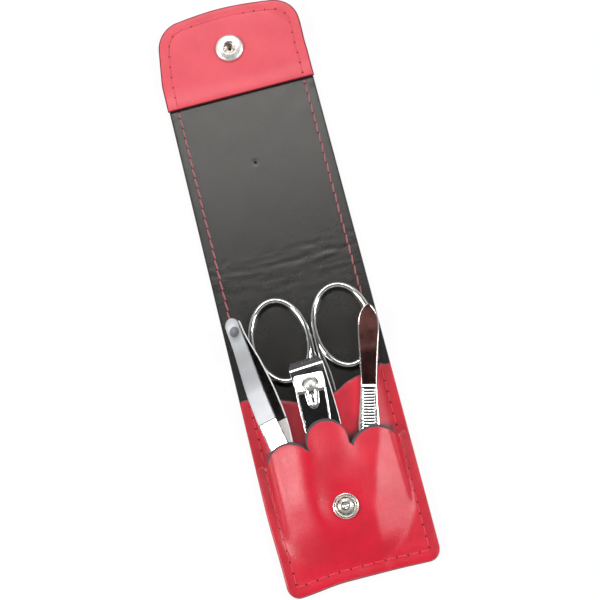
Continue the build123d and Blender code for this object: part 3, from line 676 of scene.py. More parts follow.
SNAP_HOLE = (0.0, BEND_Y + SNAP_RUN, 2.85)
WHOLE = case_plan(Y_LOW, TOP_Y)
outer = skin("outer_leather", WHOLE, lambda x, y: Z_OUTER, lambda x, y: 0.0, [OUTER, EDGE, OUTER], None, RIM,
             2.2, rows=fold_rows(2.2, 0.6), hole=SNAP_HOLE)
outer_low, outer_high = split(outer, "outer_leather_tab_half")
lining = skin("lining", WHOLE, lining_top, lambda x, y: Z_OUTER - 0.02, [LINING, BLACK_EDGE, LINING, EDGE],
              None, RIM, 1.1, rows=fold_rows(1.1, 0.45), hole=SNAP_HOLE)
RED_EDGED = 3                       # the lining's rim is dyed red where red leather covers it
for face in lining.data.polygons:
    if face.material_index == EDGED and not -44 * MM < face.center.y < BEND_Y * MM:
        face.material_index = RED_EDGED
lining_low, lining_high = split(lining, "lining_tab_half")
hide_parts("back_outer", "spine_outer")
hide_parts("cover_outer")
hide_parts("back_lining", "spine_lining")
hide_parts("cover_lining")


# ---------------- tab facing
def edge_lift(y):
    """The facing's free edge stands a little off the lining."""
    return 0.42 * smooth_step(8.0, 0.0, y - BEND_Y)


def facing_top(x, y):
    roll = 0.12 * smooth_step(1.6, 0.0, y - BEND_Y) - edge_lift(y)
    seam = 0.10 * bell(edge_gap(x, y) - SEAM_INSET, 0.8)
    swell = 0.10 * noise.noise(Vector((x * 0.07, y * 0.07, 1.0)))
    return Z_FACING - roll - seam + swell


def facing_under(x, y):
    return Z_LINING - 0.01 + edge_lift(y)


def edge_gap(x, y):
    """Rough distance from a tab point to the case's edge."""
    side = HALF_W + 0.5 - 0.088 * max(0.0, y - TAPER_Y) - abs(x - 0.9 * smooth_step(92, 120, y))
    tip = TOP_Y - (x * x) / (2 * CROWN_R) - y
    corner = 30.0 - math.hypot(max(0.0, abs(x) - 1.0), max(0.0, y - 92.0)) if y > 110 else 99.0
    return min(side, tip, corner + 4.5)


# The tab facing is cut from the lighter red leather with the painted sheen.
facing = skin("tab_facing_leather", case_plan(BEND_Y, TOP_Y, 0.45), facing_top, facing_under,
              [PAINTED_SHEEN_RED, EDGE, SUEDE], "cover", SOFT_RIM, 1.3, hole=SNAP_HOLE)
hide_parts("tab_facing")


# ---------------- rear pocket
REAR_EDGE = [(28.6, REAR_SIDE), (27.6, -42.6), (26.9, -42.2), (25.7, -43.2), (24.2, -44.4), (21.5, -45.1),
             (17.5, -45.6), (12.0, -47.1), (7.5, -49.4), (0.0, -51.6), (-7.0, -50.4), (-12.0, -48.4),
             (-16.5, -46.6), (-22.0, -44.6), (-26.5, -43.5), (-28.6, REAR_SIDE)]


def rear_top(x, y):
    return Z_REAR + 2.9 * (1 - smooth_step(16.0, 26.6, abs(x))) * smooth_step(-106.0, -80.0, y)


def rear_under(x, y):
    return max(rear_top(x, y) - 0.95, Z_LINING - 0.3)


def paint_rim(obj, mouth_y, side_x):
    """The rim is a raw cut at the mouth and dyed like the face round the sides."""
    for face in obj.data.polygons:
        at_side = face.center.y < mouth_y * MM or abs(face.center.x) > side_x * MM
        if face.material_index == EDGED and at_side:
            face.material_index = TOP


END_Y = -117.4                      # below this the plan is the case's rounded end
low_half = [p for p in case_plan(Y_LOW, -60) if p[1] < -61.0]
low_left = sorted([p for p in low_half if p[0] < 0 and p[1] > END_Y], key=lambda p: -p[1])
low_right = sorted([p for p in low_half if p[0] > 0 and p[1] > END_Y], key=lambda p: p[1])
low_end = sorted([p for p in low_half if p[1] <= END_Y], key=lambda p: math.atan2(p[1] + 100, p[0]))


def pocket_plan(edge, side_y):
    """Plan of a pocket panel: the case's own sides and end, closed by its mouth, right to left."""
    start = side_y - 0.8
    sides = spread([(-HALF_W, start), (-HALF_W, -61.5)], 1.4)[:-1] if start > -61 else []
    left = [p for p in low_left if p[1] < start - 0.3]
    right = [p for p in low_right if p[1] < start - 0.3]
    return sides + left + low_end + right + mirrored(sides) + edge


rear_mouth = [(HALF_W, REAR_SIDE), (29.8, REAR_SIDE)] + catmull(REAR_EDGE, 5) + [(-29.8, REAR_SIDE)]
rear = skin("rear_pocket_leather", pocket_plan(rear_mouth, REAR_SIDE), rear_top, rear_under,
            [REAR_RED, PALE_EDGE, SUEDE], "back", SOFT_RIM, 1.4)
paint_rim(rear, -53.0, 30.3)
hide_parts("rear_pocket")


# ---------------- front pocket
# Height over the rear panel's margin at each place across, for sections along the case: the leather stands on
# the tweezers at the left and on the clipper in the middle.
ACROSS = (-26.1, -25.3, -24.2, -22.0, -20.0, -17.0, -13.5, -11.0, -8.5, -4.0, 0.0, 4.0, 7.8, 10.0, 13.0, 31.0)
SECTIONS = {
    -56.0: (0, 5.6, 7.6, 8.6, 9.5, 11.0, 12.6, 13.4, 13.6, 12.6, 11.8, 11.3, 10.0, 8.9, 8.4, 8.4),
    -68.0: (0, 5.4, 7.4, 8.5, 9.4, 10.9, 12.5, 13.3, 13.5, 12.4, 11.6, 11.1, 9.9, 8.9, 8.3, 8.3),
    -80.0: (0, 4.7, 6.6, 7.7, 8.7, 10.1, 11.5, 12.0, 11.8, 11.1, 10.6, 10.1, 9.3, 8.9, 8.4, 8.2),
    -91.0: (0, 3.8, 5.3, 6.5, 7.4, 8.8, 10.1, 10.3, 9.8, 9.0, 8.7, 8.4, 8.2, 8.0, 7.8, 7.8),
    -96.0: (0, 3.0, 4.4, 5.3, 6.0, 7.4, 9.0, 9.3, 9.0, 8.4, 8.1, 7.9, 7.7, 7.6, 7.4, 7.4),
    -103.0: (0, 1.9, 3.0, 3.8, 4.4, 5.4, 7.0, 7.7, 7.8, 7.3, 7.0, 6.7, 6.5, 6.5, 6.5, 6.5),
    -110.0: (0, 0.6, 0.9, 1.3, 1.7, 2.4, 3.4, 4.1, 4.6, 4.8, 4.8, 4.9, 4.9, 5.0, 5.0, 5.0),
    -114.5: (0, 0.6, 0.6, 0.7, 0.8, 1.1, 1.5, 1.9, 2.3, 2.7, 2.9, 2.9, 3.0, 3.1, 3.1, 3.1),
    -118.0: (0, 0.6, 0.6, 0.6, 0.6, 0.6, 0.6, 0.6, 0.6, 0.6, 0.6, 0.6, 0.6, 0.6, 0.6, 0.6),
}
# The crease from which the right side falls away: its place across and its height.
CREASE_X = table([(-56.0, 22.6), (-68.0, 20.4), (-74.0, 18.9), (-91.0, 13.4), (-104.6, 10.2), (-114.0, 9.8),
                  (-119.0, 9.8)])
CREASE_H = table([(-56.0, 8.4), (-68.0, 8.3), (-80.0, 8.1), (-91.0, 7.8), (-96.0, 7.4), (-103.0, 6.5),
                  (-110.0, 5.0), (-114.5, 3.1), (-118.0, 0.6), (-119.0, 0.6)])
CREASE_FALL = 0.41
GRID = 0.5
GRID_X = np.arange(-HALF_W, HALF_W + 0.01, GRID)
GRID_Y = np.arange(-119.0, -55.0, GRID)
KERNEL = (0.06, 0.24, 0.40, 0.24, 0.06)


def blur(grid, times=1):
    """Soften a grid across the case."""
    for _ in range(times):
        grid = np.array([np.convolve(np.pad(row, 2, "edge"), KERNEL, "valid") for row in grid])
    return grid


def swell_grid():
    """Height of the front pocket over the rear panel's margin, softer at its left and its foot."""
    stations = sorted(SECTIONS)
    columns = [monotone(stations, [SECTIONS[y][k] for y in stations]) for k in range(len(ACROSS))]
    grid = np.zeros((len(GRID_Y), len(GRID_X)))
    for j, y in enumerate(GRID_Y):
        row = monotone(ACROSS, [column(y) for column in columns])
        for i, x in enumerate(GRID_X):
            fall = CREASE_H(y) - CREASE_FALL * (x - CREASE_X(y))
            ridge = row(x)
            z = 0.5 * (ridge + fall - math.sqrt((ridge - fall) ** 2 + 0.05))
            grid[j, i] = max(z, 0.0) * (1 - smooth_step(25.0, 26.2, x))
    grid = blur(grid, 2)
    share = np.array([smooth_step(-23.0, -21.0, x) * smooth_step(8.0, 4.0, x) for x in GRID_X])
    grid = grid * (1 - share) + blur(grid, 10) * share
    soft = grid
    for _ in range(30):
        soft = blur(blur(soft).T).T
    share = np.array([[smooth_step(-93.0, -104.0, y) * smooth_step(4.0, -4.0, x) for x in GRID_X]
                      for y in GRID_Y])
    grid = grid * (1 - share) + soft * share
    return blur(grid.T, 12).T


SWELL = swell_grid()


def swell(x, y):
    """The height at any point between those of the grid."""
    i = min(max((x - GRID_X[0]) / GRID, 0), len(GRID_X) - 1.001)
    j = min(max((y - GRID_Y[0]) / GRID, 0), len(GRID_Y) - 1.001)
    a, b = int(i), int(j)
    u, v = i - a, j - b
    low = SWELL[b, a] * (1 - u) + SWELL[b, a + 1] * u
    high = SWELL[b + 1, a] * (1 - u) + SWELL[b + 1, a + 1] * u
    return low * (1 - v) + high * v


def front_top(x, y):
    h = swell(x, y)
    flat = 0.45
    lifted = 0.5 * (h + flat + math.sqrt((h - flat) ** 2 + 0.9)) - 0.2 * smooth_step(3.0, 0.0, h)
    seat = smooth_step(11.5, 3.6, math.hypot(x, y - STUD_Y))
    seat_z = STUD_Z - Z_REAR + (y - STUD_Y) * math.tan(TAB)
    z = lifted * (1 - seat) + seat_z * seat
    pull = 0.10 * noise.noise(Vector((x * 0.10, y * 0.06, 9.0)))
    stitch = 0.07 * bell(min(HALF_W - abs(x), y - Y_LOW) - SEAM_INSET, 0.8)
    z = Z_REAR + z + pull * (1 - seat) - stitch
    flange = smooth_step(25.6, 26.8, abs(x)) * smooth_step(-86.0, FRONT_SIDE, y)
    return z * (1 - flange) + (Z_REAR + 0.12) * flange


def front_under(x, y):
    return max(front_top(x, y) - 1.0, Z_REAR - 0.05)


def lobes():
    """Mouth of the front pocket, right to left: three round lobes between the side seams."""
    right = arc_through((25.4, FRONT_SIDE), (16.6, -67.4), (8.1, -72.2), 22)
    notch_r = [(7.9, -72.9), (7.7, -72.2)]
    middle = arc_through((7.6, -68.6), (-0.6, -60.9), (-9.1, -68.6), 26)
    notch_l = [(-9.0, -71.3), (-8.9, -72.0), (-9.1, -71.4)]
    left = arc_through((-9.6, -70.6), (-17.2, -66.2), (-26.3, FRONT_SIDE), 22)
    shelf_r = spread([(HALF_W, FRONT_SIDE), (25.9, FRONT_SIDE)], 1.3)[1:]
    shelf_l = spread([(-26.8, FRONT_SIDE), (-HALF_W, FRONT_SIDE)], 1.3)[:-1]
    return shelf_r + right[:-1] + notch_r + middle + notch_l + left + shelf_l


front = skin("front_pocket_leather", pocket_plan(lobes(), FRONT_SIDE), front_top, front_under,
             [RED, PALE_EDGE, SUEDE], "back", MOUTH_RIM, 1.0, facing=(-0.35, 0.94))
paint_rim(front, -74.2, 26.0)
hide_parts("front_pocket")


# ---------------- stitching
STEPS = 8                           # stretches of the seam line in one stitch
PITCH = 4.55
# For each run of the seam: thread, needle hole (a dark disc, painted shade), their sizes, and how far each
# stitch slants.
SEWN = {
    "pocket": (THREAD, RECESS_SHADE, 0.26, 0.50, 0.0),
    "lower": (LINING_THREAD, RECESS_SHADE, 0.34, 0.50, 0.25),
    "upper": (LINING_THREAD, RECESS_SHADE, 0.34, 0.50, 0.25),
    "tab": (TAB_THREAD_PAINTED_LIGHT, TAB_HOLE_SHADE, 0.26, 0.46, 0.0),
}


def surface(x, y):
    """Top of whatever leather is uppermost on the seam at a point of the flat case."""
    if y < FRONT_SIDE - 0.2:
        return front_top(x, y)
    if y < REAR_SIDE - 0.2:
        return rear_top(x, y)
    if y < BEND_Y:
        return lining_top(x, y)
    return facing_top(x, y)


def seam_line():
    """The one seam round the case as evenly spaced flat points, and how many stitches it has."""
    loop = np.array(WHOLE)
    for _ in range(int(SEAM_INSET)):
        loop = loop + inward_of(loop)
    loop = np.vstack([loop, loop[:1]])
    reach = np.concatenate([[0], np.cumsum(np.hypot(*np.diff(loop, axis=0).T))])
    count = round(reach[-1] / PITCH)
    at = np.linspace(0, reach[-1], count * STEPS + 1)
    return [tuple(p) for p in zip(np.interp(at, reach, loop[:, 0]), np.interp(at, reach, loop[:, 1]))], count


def oval(x, y, z, side, width, height, count):
    """Points of an upright oval, which lies along the direction side."""
    return [tab_bend((x + side[0] * width * math.cos(a), y + side[1] * width * math.cos(a),
                      z + height * math.sin(a))) for a in turns(count)]


def stitch_tube(points, r):
    """Rings of one stitch that dips into its two holes."""
    rings = []
    n = len(points)
    for i, (x, y) in enumerate(points):
        t = i / (n - 1)
        a, b = points[max(i - 1, 0)], points[min(i + 1, n - 1)]
        way = Vector((b[0] - a[0], b[1] - a[1])).normalized()
        lift = r * 0.35 * (1 - (2 * t - 1) ** 6) - r * 1.1 * abs(2 * t - 1) ** 8
        width = r * (0.72 + 0.28 * math.sin(math.pi * t))
        rings.append(oval(x, y, surface(x, y) + lift, (-way.y, way.x), width, 0.8 * width, 8))
    return rings


def hole_disc(x, y, way, r):
    """A needle hole: a dark oval, painted shade, lying in a tiny dimple."""
    z = surface(x, y) + 0.035
    verts = [tab_bend((x, y, z + 0.01))]
    for a in turns(10):
        u, v = 1.25 * r * math.cos(a), 0.9 * r * math.sin(a)
        verts.append(tab_bend((x + u * way[0] - v * way[1], y + u * way[1] + v * way[0], z)))
    return verts, [(0, 1 + k, 1 + (k + 1) % 10) for k in range(10)]


def seam_part(y):
    """Which run of the seam is at a level."""
    if y > BEND_Y:
        return "tab"
    if y > MID_SPINE:
        return "upper"
    return "lower" if y > REAR_SIDE else "pocket"


def gather(bag, verts, faces):
    base = len(bag[0])
    bag[0].extend(verts)
    bag[1].extend([tuple(base + k for k in f) for f in faces])


def sew():
    """Stitches and needle holes, gathered by the part of the case that carries them."""
    line, count = seam_line()
    threads = {key: ([], []) for key in SEWN}
    holes = {key: ([], []) for key in SEWN}
    for i in range(count):
        run = line[i * STEPS:(i + 1) * STEPS + 1]
        x, y = run[STEPS // 2]
        if abs(y - BEND_Y) < 2.3 and abs(x) > 20:
            run = [p for p in run if p[1] < BEND_Y - 0.35]
            if len(run) < 4:
                continue
            y = run[len(run) // 2][1]
        elif any(abs(y - edge) < 1.9 for edge in (FRONT_SIDE, REAR_SIDE)) and abs(x) > 20:
            continue
        key = seam_part(y)
        _, _, thick, hole_r, slant = SEWN[key]
        jitter = (random.random() - 0.5) * 0.10
        points = [(px + jitter + slant * (k - 4) / 4, py) for k, (px, py) in enumerate(run)]
        fine = []
        for (a, b), (c, d) in zip(points, points[1:]):
            fine += [(a, b), (0.5 * (a + c), 0.5 * (b + d))]
        fine.append(points[-1])
        gather(threads[key], *join_rings(stitch_tube(fine, thick)))
        way = (run[-1][0] - run[0][0], run[-1][1] - run[0][1])
        size = math.hypot(*way)
        gather(holes[key], *hole_disc(*points[0], (way[0] / size, way[1] / size), hole_r))
    return threads, holes


threads, holes = sew()
sewn = {}
for key, (yarn_of_run, hole_of_run, _, _, _) in SEWN.items():
    sewn[key] = make("thread_" + key, *threads[key], yarn_of_run, None)
    for piece in (sewn[key], make("needle_holes_" + key, *holes[key], hole_of_run, None)):
        if key == "pocket":
            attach(piece, "back")
        elif key == "tab":
            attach(piece, "cover")
        elif key == "lower":
            over_fold_1(piece)
        else:
            over_fold_2(piece)
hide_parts("back_thread")
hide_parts("spine_thread")
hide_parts("cover_thread")
# A near-black disc over the lining's dent: painted shade in the nick.
nick_points, nick_faces = hole_disc(NICK_X, NICK_Y, (0.5, -0.87), 0.52)
nick = make("lining_nick", [(x, y, z + 0.24) for x, y, z in nick_points], nick_faces, NICK_SHADE, "cover")


# ---------------- snap
def at(*place):
    return Matrix.Translation(place)


def turned(degrees, axis):
    return Matrix.Rotation(math.radians(degrees), 4, axis)


def tab_place(up):
    """Frame of a snap piece on the tab, up above the lining."""
    y = BEND_Y + SNAP_RUN * math.cos(TAB) - up * math.sin(TAB)
    z = Z_LINING + SNAP_RUN * math.sin(TAB) + up * math.cos(TAB)
    return at(0, y, z) @ Matrix.Rotation(TAB, 4, "X")


ON_FACING = tab_place(1.0)
OUTSIDE = tab_place(-2.0)
STUD_PLACE = at(0, STUD_Y, STUD_Z) @ Matrix.Rotation(TAB, 4, "X")

socket = lathe("snap_socket_ring", rounded([
    (2.42, 0.0), (5.6, 0.0), (5.95, 0.35), (5.85, 0.9), (5.45, 1.3), (4.6, 1.55), (3.6, 1.7), (2.85, 1.75),
    (2.55, 1.55), (2.42, 1.2), (2.42, 0.0)], 0.35), BUTTON, "cover", ON_FACING, 96)
well = lathe("snap_socket_well", [(0.0, -1.4), (2.2, -1.4), (2.42, -1.2), (2.42, -1.6), (0.0, -1.6)], WELL,
             "cover", ON_FACING, 48)
# A near-black disc at the bottom of the socket's well: painted shadow.
pit = lathe("snap_socket_pit", [(0.0, -1.37), (0.55, -1.37), (0.8, -1.41), (0.0, -1.41)], PAINTED_SHADOW, "cover",
            ON_FACING, 32)
cap = lathe("snap_cap_dome", rounded([
    (2.8, -0.02), (5.9, 0.0), (6.3, -0.35), (5.5, -0.72), (4.0, -0.98), (2.0, -1.08), (0.0, -1.1)], 0.5),
    PLATED, "cover", OUTSIDE, 96)
barrel = lathe("snap_cap_barrel", rounded([
    (2.45, 0.4), (2.8, -0.01), (2.8, 3.0), (2.45, 3.0), (2.45, 0.4)], 0.06), PLATED, "cover", OUTSIDE)
stud = lathe("snap_stud_button", rounded([
    (1.25, 0.0), (4.8, 0.0), (5.1, 0.35), (5.0, 0.8), (4.6, 1.02), (4.1, 1.0), (3.75, 0.72), (3.5, 0.6),
    (2.75, 0.6), (2.45, 0.95), (1.95, 1.12), (1.72, 1.25), (1.7, 2.3), (2.25, 2.55), (2.3, 2.85),
    (2.15, 3.18), (1.7, 3.3), (1.1, 3.3), (0.75, 3.05), (0.4, 2.7), (0.0, 2.62)], 0.2), STUD_METAL, "back",
    STUD_PLACE, 96)
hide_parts("snap_socket")
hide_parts("snap_cap")
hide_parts("snap_stud")


# ---------------- metal helpers
def bar(name, rows, section, place, metals, body):
    """A metal piece drawn through cross-sections: section(y) gives (x, z) points, all rings alike."""
    rings = [[tuple(place @ Vector((x, y, z))) for x, z in section(y)] for y in rows]
    return make(name, *join_rings(rings), metals, body)


def levels(a, b, step, ends):
    """Rows from a down to b, which crowd over a length of ends near each end."""
    crowd = [ends * (1 - math.cos(t * math.pi / 24)) for t in range(1, 12)]
    rows = list(np.arange(a, b, -step)) + [b] + [a - c for c in crowd] + [b + c for c in crowd]
    return sorted(set(rows), reverse=True)


def round_end(y, tip, r):
    """Share of the half width left this near a round end."""
    d = min(max(abs(tip - y) / r, 0.0), 1.0)
    return max(math.sqrt(max(0.0, 1 - (1 - d) ** 2)), 0.02)


# ---------------- scissors
SCISSORS = at(3.7, -62.01, 2.3)
RING_WIRE_R = 1.2
SHANK_HALF = table([(39.0, 1.05), (33.0, 0.98), (28.0, 1.05), (24.0, 1.35), (20.0, 1.75), (15.0, 1.95),
                    (5.0, 2.05), (2.0, 2.1)])
SHANK_MIDDLE = table([(39.0, 1.5), (34.0, 1.25), (30.0, 1.35), (26.0, 1.8), (22.0, 2.05), (16.0, 2.0),
                      (5.0, 2.1), (2.0, 2.1)])
BLADE_HALF = table([(4.6, 4.2), (0.0, 3.6), (-4.0, 3.3), (-12.0, 2.9), (-24.0, 1.9), (-33.0, 0.7),
                    (-35.0, 0.25)])
BLADE_SHIFT = table([(4.6, 0.0), (0.0, 0.0), (-4.0, 0.5), (-35.0, 0.5)])


def ring_centre(side, steps=96):
    """Centre line of one finger ring, a rounded egg that narrows towards its shank."""
    out = []
    for a in turns(steps):
        narrow = 1.0 - 0.05 * max(0.0, -math.sin(a)) * (1.0 + side * math.cos(a)) * 0.5
        out.append(Vector((side * 12.9 + 11.4 * math.cos(a) * narrow, 38.4 + 16.9 * math.sin(a), 1.2)))
    return out


def ring_tube(line, r, steps=20):
    """Rings of a wire round a closed line."""
    rings = []
    for i, p in enumerate(line):
        way = (line[(i + 1) % len(line)] - line[i - 1]).normalized()
        side = way.cross(Vector((0, 0, 1))).normalized()
        up = side.cross(way)
        ring = [p + side * r * math.cos(a) + up * r * math.sin(a) for a in turns(steps)]
        rings.append([tuple(SCISSORS @ q) for q in ring])
    return rings


def scissor_half(side, name, node, body):
    low, high = (0.0, 1.17) if side < 0 else (1.23, 2.4)

    def shank(y):
        w = SHANK_HALF(y) * (0.55 + 0.45 * round_end(y, 39.5, 3.0))
        return [(side * SHANK_MIDDLE(y) + x, z) for x, z in rounded_rect(w, 0.06, 2.34, 0.75, 5)]

    def blade(y):
        w = BLADE_HALF(y) * round_end(y, 4.7, 3.4)
        thin = smooth_step(0.0, -6.0, y) * 0.35
        z0, z1 = (low + thin, high) if side < 0 else (low, high - thin)
        edge = 0.32 * (z1 - z0)
        c = -side * BLADE_SHIFT(y)
        if side < 0:
            return [(c + w, z1), (c - w + 0.4, z1), (c - w, z1 - 0.3), (c - w, z0 + 0.3), (c - w + 0.5, z0),
                    (c + 0.2 * w, z0), (c + w, z1 - edge)]
        return [(c - w, z0), (c - w, z0 + edge), (c - 0.2 * w, z1), (c + w - 0.5, z1), (c + w, z1 - 0.3),
                (c + w, z0 + 0.3), (c + w - 0.4, z0)]

    rings = ring_tube(ring_centre(side), RING_WIRE_R)
    loop = make(name + "_ring", *join_rings(rings, closed=True), PLATED, body)
    arm = bar(name + "_shank", levels(39.3, 2.0, 0.8, 1.5), shank, SCISSORS, PLATED, body)
    edge = bar(name + "_blade", levels(4.6, -35.0, 1.0, 2.0), blade, SCISSORS, POLISHED, body)
    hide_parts(node)


scissor_half(-1, "left_scissor", "scissor_left", "left_half")
scissor_half(1, "right_scissor", "scissor_right", "right_half")
screw = lathe("scissor_screw_head", rounded([
    (0.0, 0.05), (1.2, 0.05), (1.2, 1.85), (2.2, 1.85), (2.2, 2.3), (1.9, 2.42), (0.0, 2.46)], 0.12), PLATED,
    "scissors", SCISSORS, 48)
# A dark bar on the screw's head: painted shade in its slot.
driver_slot = bar("scissor_screw_slot", [1.9, 0.0, -1.9], lambda y: rounded_rect(0.25, 2.30, 2.48, 0.05, 2),
                  SCISSORS, RECESS_SHADE, "scissors")
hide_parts("scissor_screw")


# ---------------- nail clipper
CLIPPER = at(-1.9, -35.01, 6.5) @ turned(3.5, "Z")
PIN = CLIPPER @ at(0, -10, 0)
BALL = PIN @ at(-0.4, -1.6, 0)
RIVET = CLIPPER @ at(0, -50, 0)
LEVER = CLIPPER @ at(-0.6, -10, 5.12) @ turned(-6.6, "Z") @ turned(3.38, "X")
COLLAR = LEVER @ at(0.25, -1.2, 0)
PLATE_HALF = table([(0.0, 5.7), (-1.4, 6.3), (-3.2, 6.95), (-18.9, 6.8), (-48.0, 4.95), (-54.0, 4.8)])
UPPER_TOP = table([(0.0, 3.10), (-1.2, 4.0), (-2.9, 4.85), (-3.7, 5.04), (-6.5, 5.08), (-10.0, 5.0),
                   (-20.0, 4.4), (-54.0, 2.4)])
UPPER_UNDER = table([(0.0, 2.75), (-2.6, 3.3), (-6.0, 3.75), (-10.0, 3.8), (-54.0, 1.26)])
LOWER_TOP = table([(0.0, 1.05), (-2.5, 1.5), (-6.0, 1.2), (-54.0, 1.16)])
LOWER_UNDER = table([(0.0, 0.75), (-6.0, 0.0), (-54.0, 0.0)])
LEVER_HALF = table([(3.4, 5.5), (2.6, 5.9), (0.0, 6.1), (-3.6, 6.05), (-6.0, 6.0), (-20.0, 5.25),
                    (-34.4, 4.4), (-37.4, 4.3)])
WALL = table([(4.0, 0.0), (-3.0, 0.0), (-4.4, 1.1), (-36.0, 1.1), (-37.4, 0.9)])
DISH = table([(4.0, 0.35), (-2.6, 0.3), (-5.0, 0.0), (-37.4, 0.0)])
TONGUE_HALF = table([(-3.2, 3.0), (-6.0, 2.75), (-9.0, 2.35), (-11.0, 2.1)])


def plate_section(top, under):
    def section(y):
        return rounded_rect(PLATE_HALF(y) * round_end(y, -54.05, 5.2), under(y), top(y), 0.3, 4)
    return section


def lever_section(y):
    """Base plate with two upturned walls: from the right foot over the walls and the hollow to the left."""
    w = max(LEVER_HALF(y) * round_end(y, -37.5, 3.4) ** 0.6, 0.3)
    h, t = WALL(y), 0.9 + (0.25 - 0.19 * y) * smooth_step(-4.0, -3.4, y)
    top = t + h
    inner = max(w - 0.55, 0.1)
    right = [(w - 0.35, 0.0), (w - 0.1, 0.12), (w, 0.4), (w, top - 0.25), (w - 0.1, top - 0.06),
             (w - 0.3, top), (inner + 0.06, top - 0.06), (inner, top - 0.2),
             (inner - 0.02, t + 0.3 * (h > 0.2)), (inner - 0.12, t + 0.06), (inner - 0.3, t),
             (inner - 0.5, t), (0.5 * inner, t - DISH(y) * 0.5)]
    right = [(max(x, 0.02), z) for x, z in right]
    return right + mirrored(right)


def tongue_section(y):
    """A domed tongue, pressed out of the lever below its pin, with a groove down the middle."""
    w = TONGUE_HALF(y) * round_end(y, -10.75, 2.6)
    groove = smooth_step(-4.6, -5.6, y) * smooth_step(-9.8, -8.6, y)
    rise = 2.1 * min(1.0, w / 2.2)
    out = []
    for k in range(25):
        u = 1 - k / 12.0
        z = rise * math.sqrt(max(0.0, 1 - u * u)) - 1.3 * groove * bell(u * w, 0.42)
        out.append((w * u + 0.15, 0.75 + z))
    return out


lower = bar("clipper_lower_plate", levels(0.0, -54.0, 0.8, 3.0), plate_section(LOWER_TOP, LOWER_UNDER),
            CLIPPER, PLATED, "clipper")
upper = bar("clipper_upper_plate", levels(0.0, -54.0, 0.5, 3.0), plate_section(UPPER_TOP, UPPER_UNDER),
            CLIPPER, [PLATED, JAW_PAINTED_REFLECTION, PAINTED_HIGHLIGHT_STEEL], "upper_plate")
# The jaw band's top takes the darker jaw steel, a painted dark reflection.
for face in upper.data.polygons:
    c = CLIPPER.inverted() @ (Vector(face.center) / MM)
    if c.y > -2.9 and face.normal.z > 0.2:
        face.material_index = 1
    # The right edge takes the near-white steel: a painted highlight.
    elif c.x > PLATE_HALF(c.y) - 0.31 and c.y > -50.0:
        face.material_index = 2
stem = lathe("clipper_pin_stem", rounded([
    (0.0, -0.5), (2.6, -0.5), (2.6, -0.05), (1.6, 0.0), (1.6, 6.2), (0.0, 6.2)], 0.08), PLATED, "clipper",
    PIN, 48)
BALL_R = 2.7
ball_line = [(BALL_R * math.sin(a), 7.0 - BALL_R * math.cos(a)) for a in map(math.radians, range(36, 150, 5))]
ball = lathe("clipper_pin_ball", ball_line + [(1.1, 9.40), (0.5, 9.44), (0.0, 9.45)], BUTTON, "clipper", BALL)
# A near-black ring where the ball meets the collar: painted shadow in the gap.
gap = lathe("clipper_pin_gap", arc(2.74, 6.7, 0.13, 0, 360, 12), PAINTED_SHADOW, "clipper", BALL)
rivet = lathe("clipper_tail_rivet", rounded([
    (0.6, -0.5), (2.2, -0.5), (2.2, 0.0), (1.2, 0.02), (1.2, 2.86), (2.2, 2.86), (2.15, 3.2), (1.6, 3.4),
    (0.6, 3.3), (0.6, -0.5)], 0.12), PLATED, "clipper", RIVET, 48)
lever = bar("clipper_lever_tray", levels(3.4, -37.4, 0.3, 2.0), lever_section, LEVER, PLATED, "lever")
collar = lathe("clipper_lever_collar", rounded([
    (2.4, 0.6), (2.55, 1.35), (2.95, 1.6), (3.35, 1.45), (3.6, 1.05), (3.65, 0.6)], 0.25), PLATED, "lever",
    COLLAR)
tongue = bar("clipper_lever_tongue", levels(-3.2, -10.7, 0.3, 1.2), tongue_section, LEVER, PLATED, "lever")
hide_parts("clipper_lower")
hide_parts("clipper_upper")
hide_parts("clipper_pin")
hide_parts("clipper_rivet")
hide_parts("clipper_lever")


# ---------------- tweezers
TWEEZERS = at(-26.2, -11.61, 10.224) @ turned(7.8, "Z") @ turned(-27.0, "Y")
KINK_Y = -45.5
ARM_HALF = table([(0.0, 3.15), (-3.15, 3.15), (-42.6, 4.15), (-56.6, 4.15), (-79.0, 1.2), (-80.0, 1.15)])
BOW = table([(0.0, 0.05), (-4.0, 0.25), (-12.0, 0.66), (-22.0, 1.75), (-33.2, 2.8), (-40.0, 2.82),
             (-45.3, 2.5), (-46.8, 2.3), (-56.0, 0.95), (-59.0, 0.66), (-80.0, 0.65)])


def front_arm(y):
    """The front arm, with a dimple over its rivet."""
    w, low = ARM_HALF(y) * round_end(y, 0.05, 3.15), BOW(y)
    ring = rounded_rect(w, low, low + 1.0, 0.22, 4)
    dimple = 0.5 * bell(y + 5.9, 2.3)
    across = (0.8, 0.6, 0.4, 0.2, 0.0, -0.2, -0.4, -0.6, -0.8)
    return ring[:5] + [(k * w, low + 1.0 - dimple * bell(k * w, 2.0)) for k in across] + ring[5:]


def rear_arm(y):
    """The rear arm, bowed out further than the front one."""
    bow = smooth_step(-6.0, -22.0, y) * smooth_step(-62.0, -48.0, y)
    low = BOW(y) + 0.6 * bow
    ring = rounded_rect(ARM_HALF(y) * round_end(y, 0.05, 3.15), low, low + 1.0, 0.22, 4)
    return [(x + 0.8 * bow, -z) for x, z in ring]


def tip_polish_and_painted_light(arm):
    """The faces past the kink, and the rear arm's outer edge, take the second metal: polish on the front arm,
    a painted highlight on the rear one; a painted shadow line marks the kink.
    """
    back = TWEEZERS.inverted()
    for face in arm.data.polygons:
        c = back @ (Vector(face.center) / MM)
        if c.y < KINK_Y:
            face.material_index = 1
        elif c.y < KINK_Y + 0.5:
            face.material_index = 2
        elif c.z < 0 and c.x > ARM_HALF(c.y) * 0.93:
            face.material_index = 1


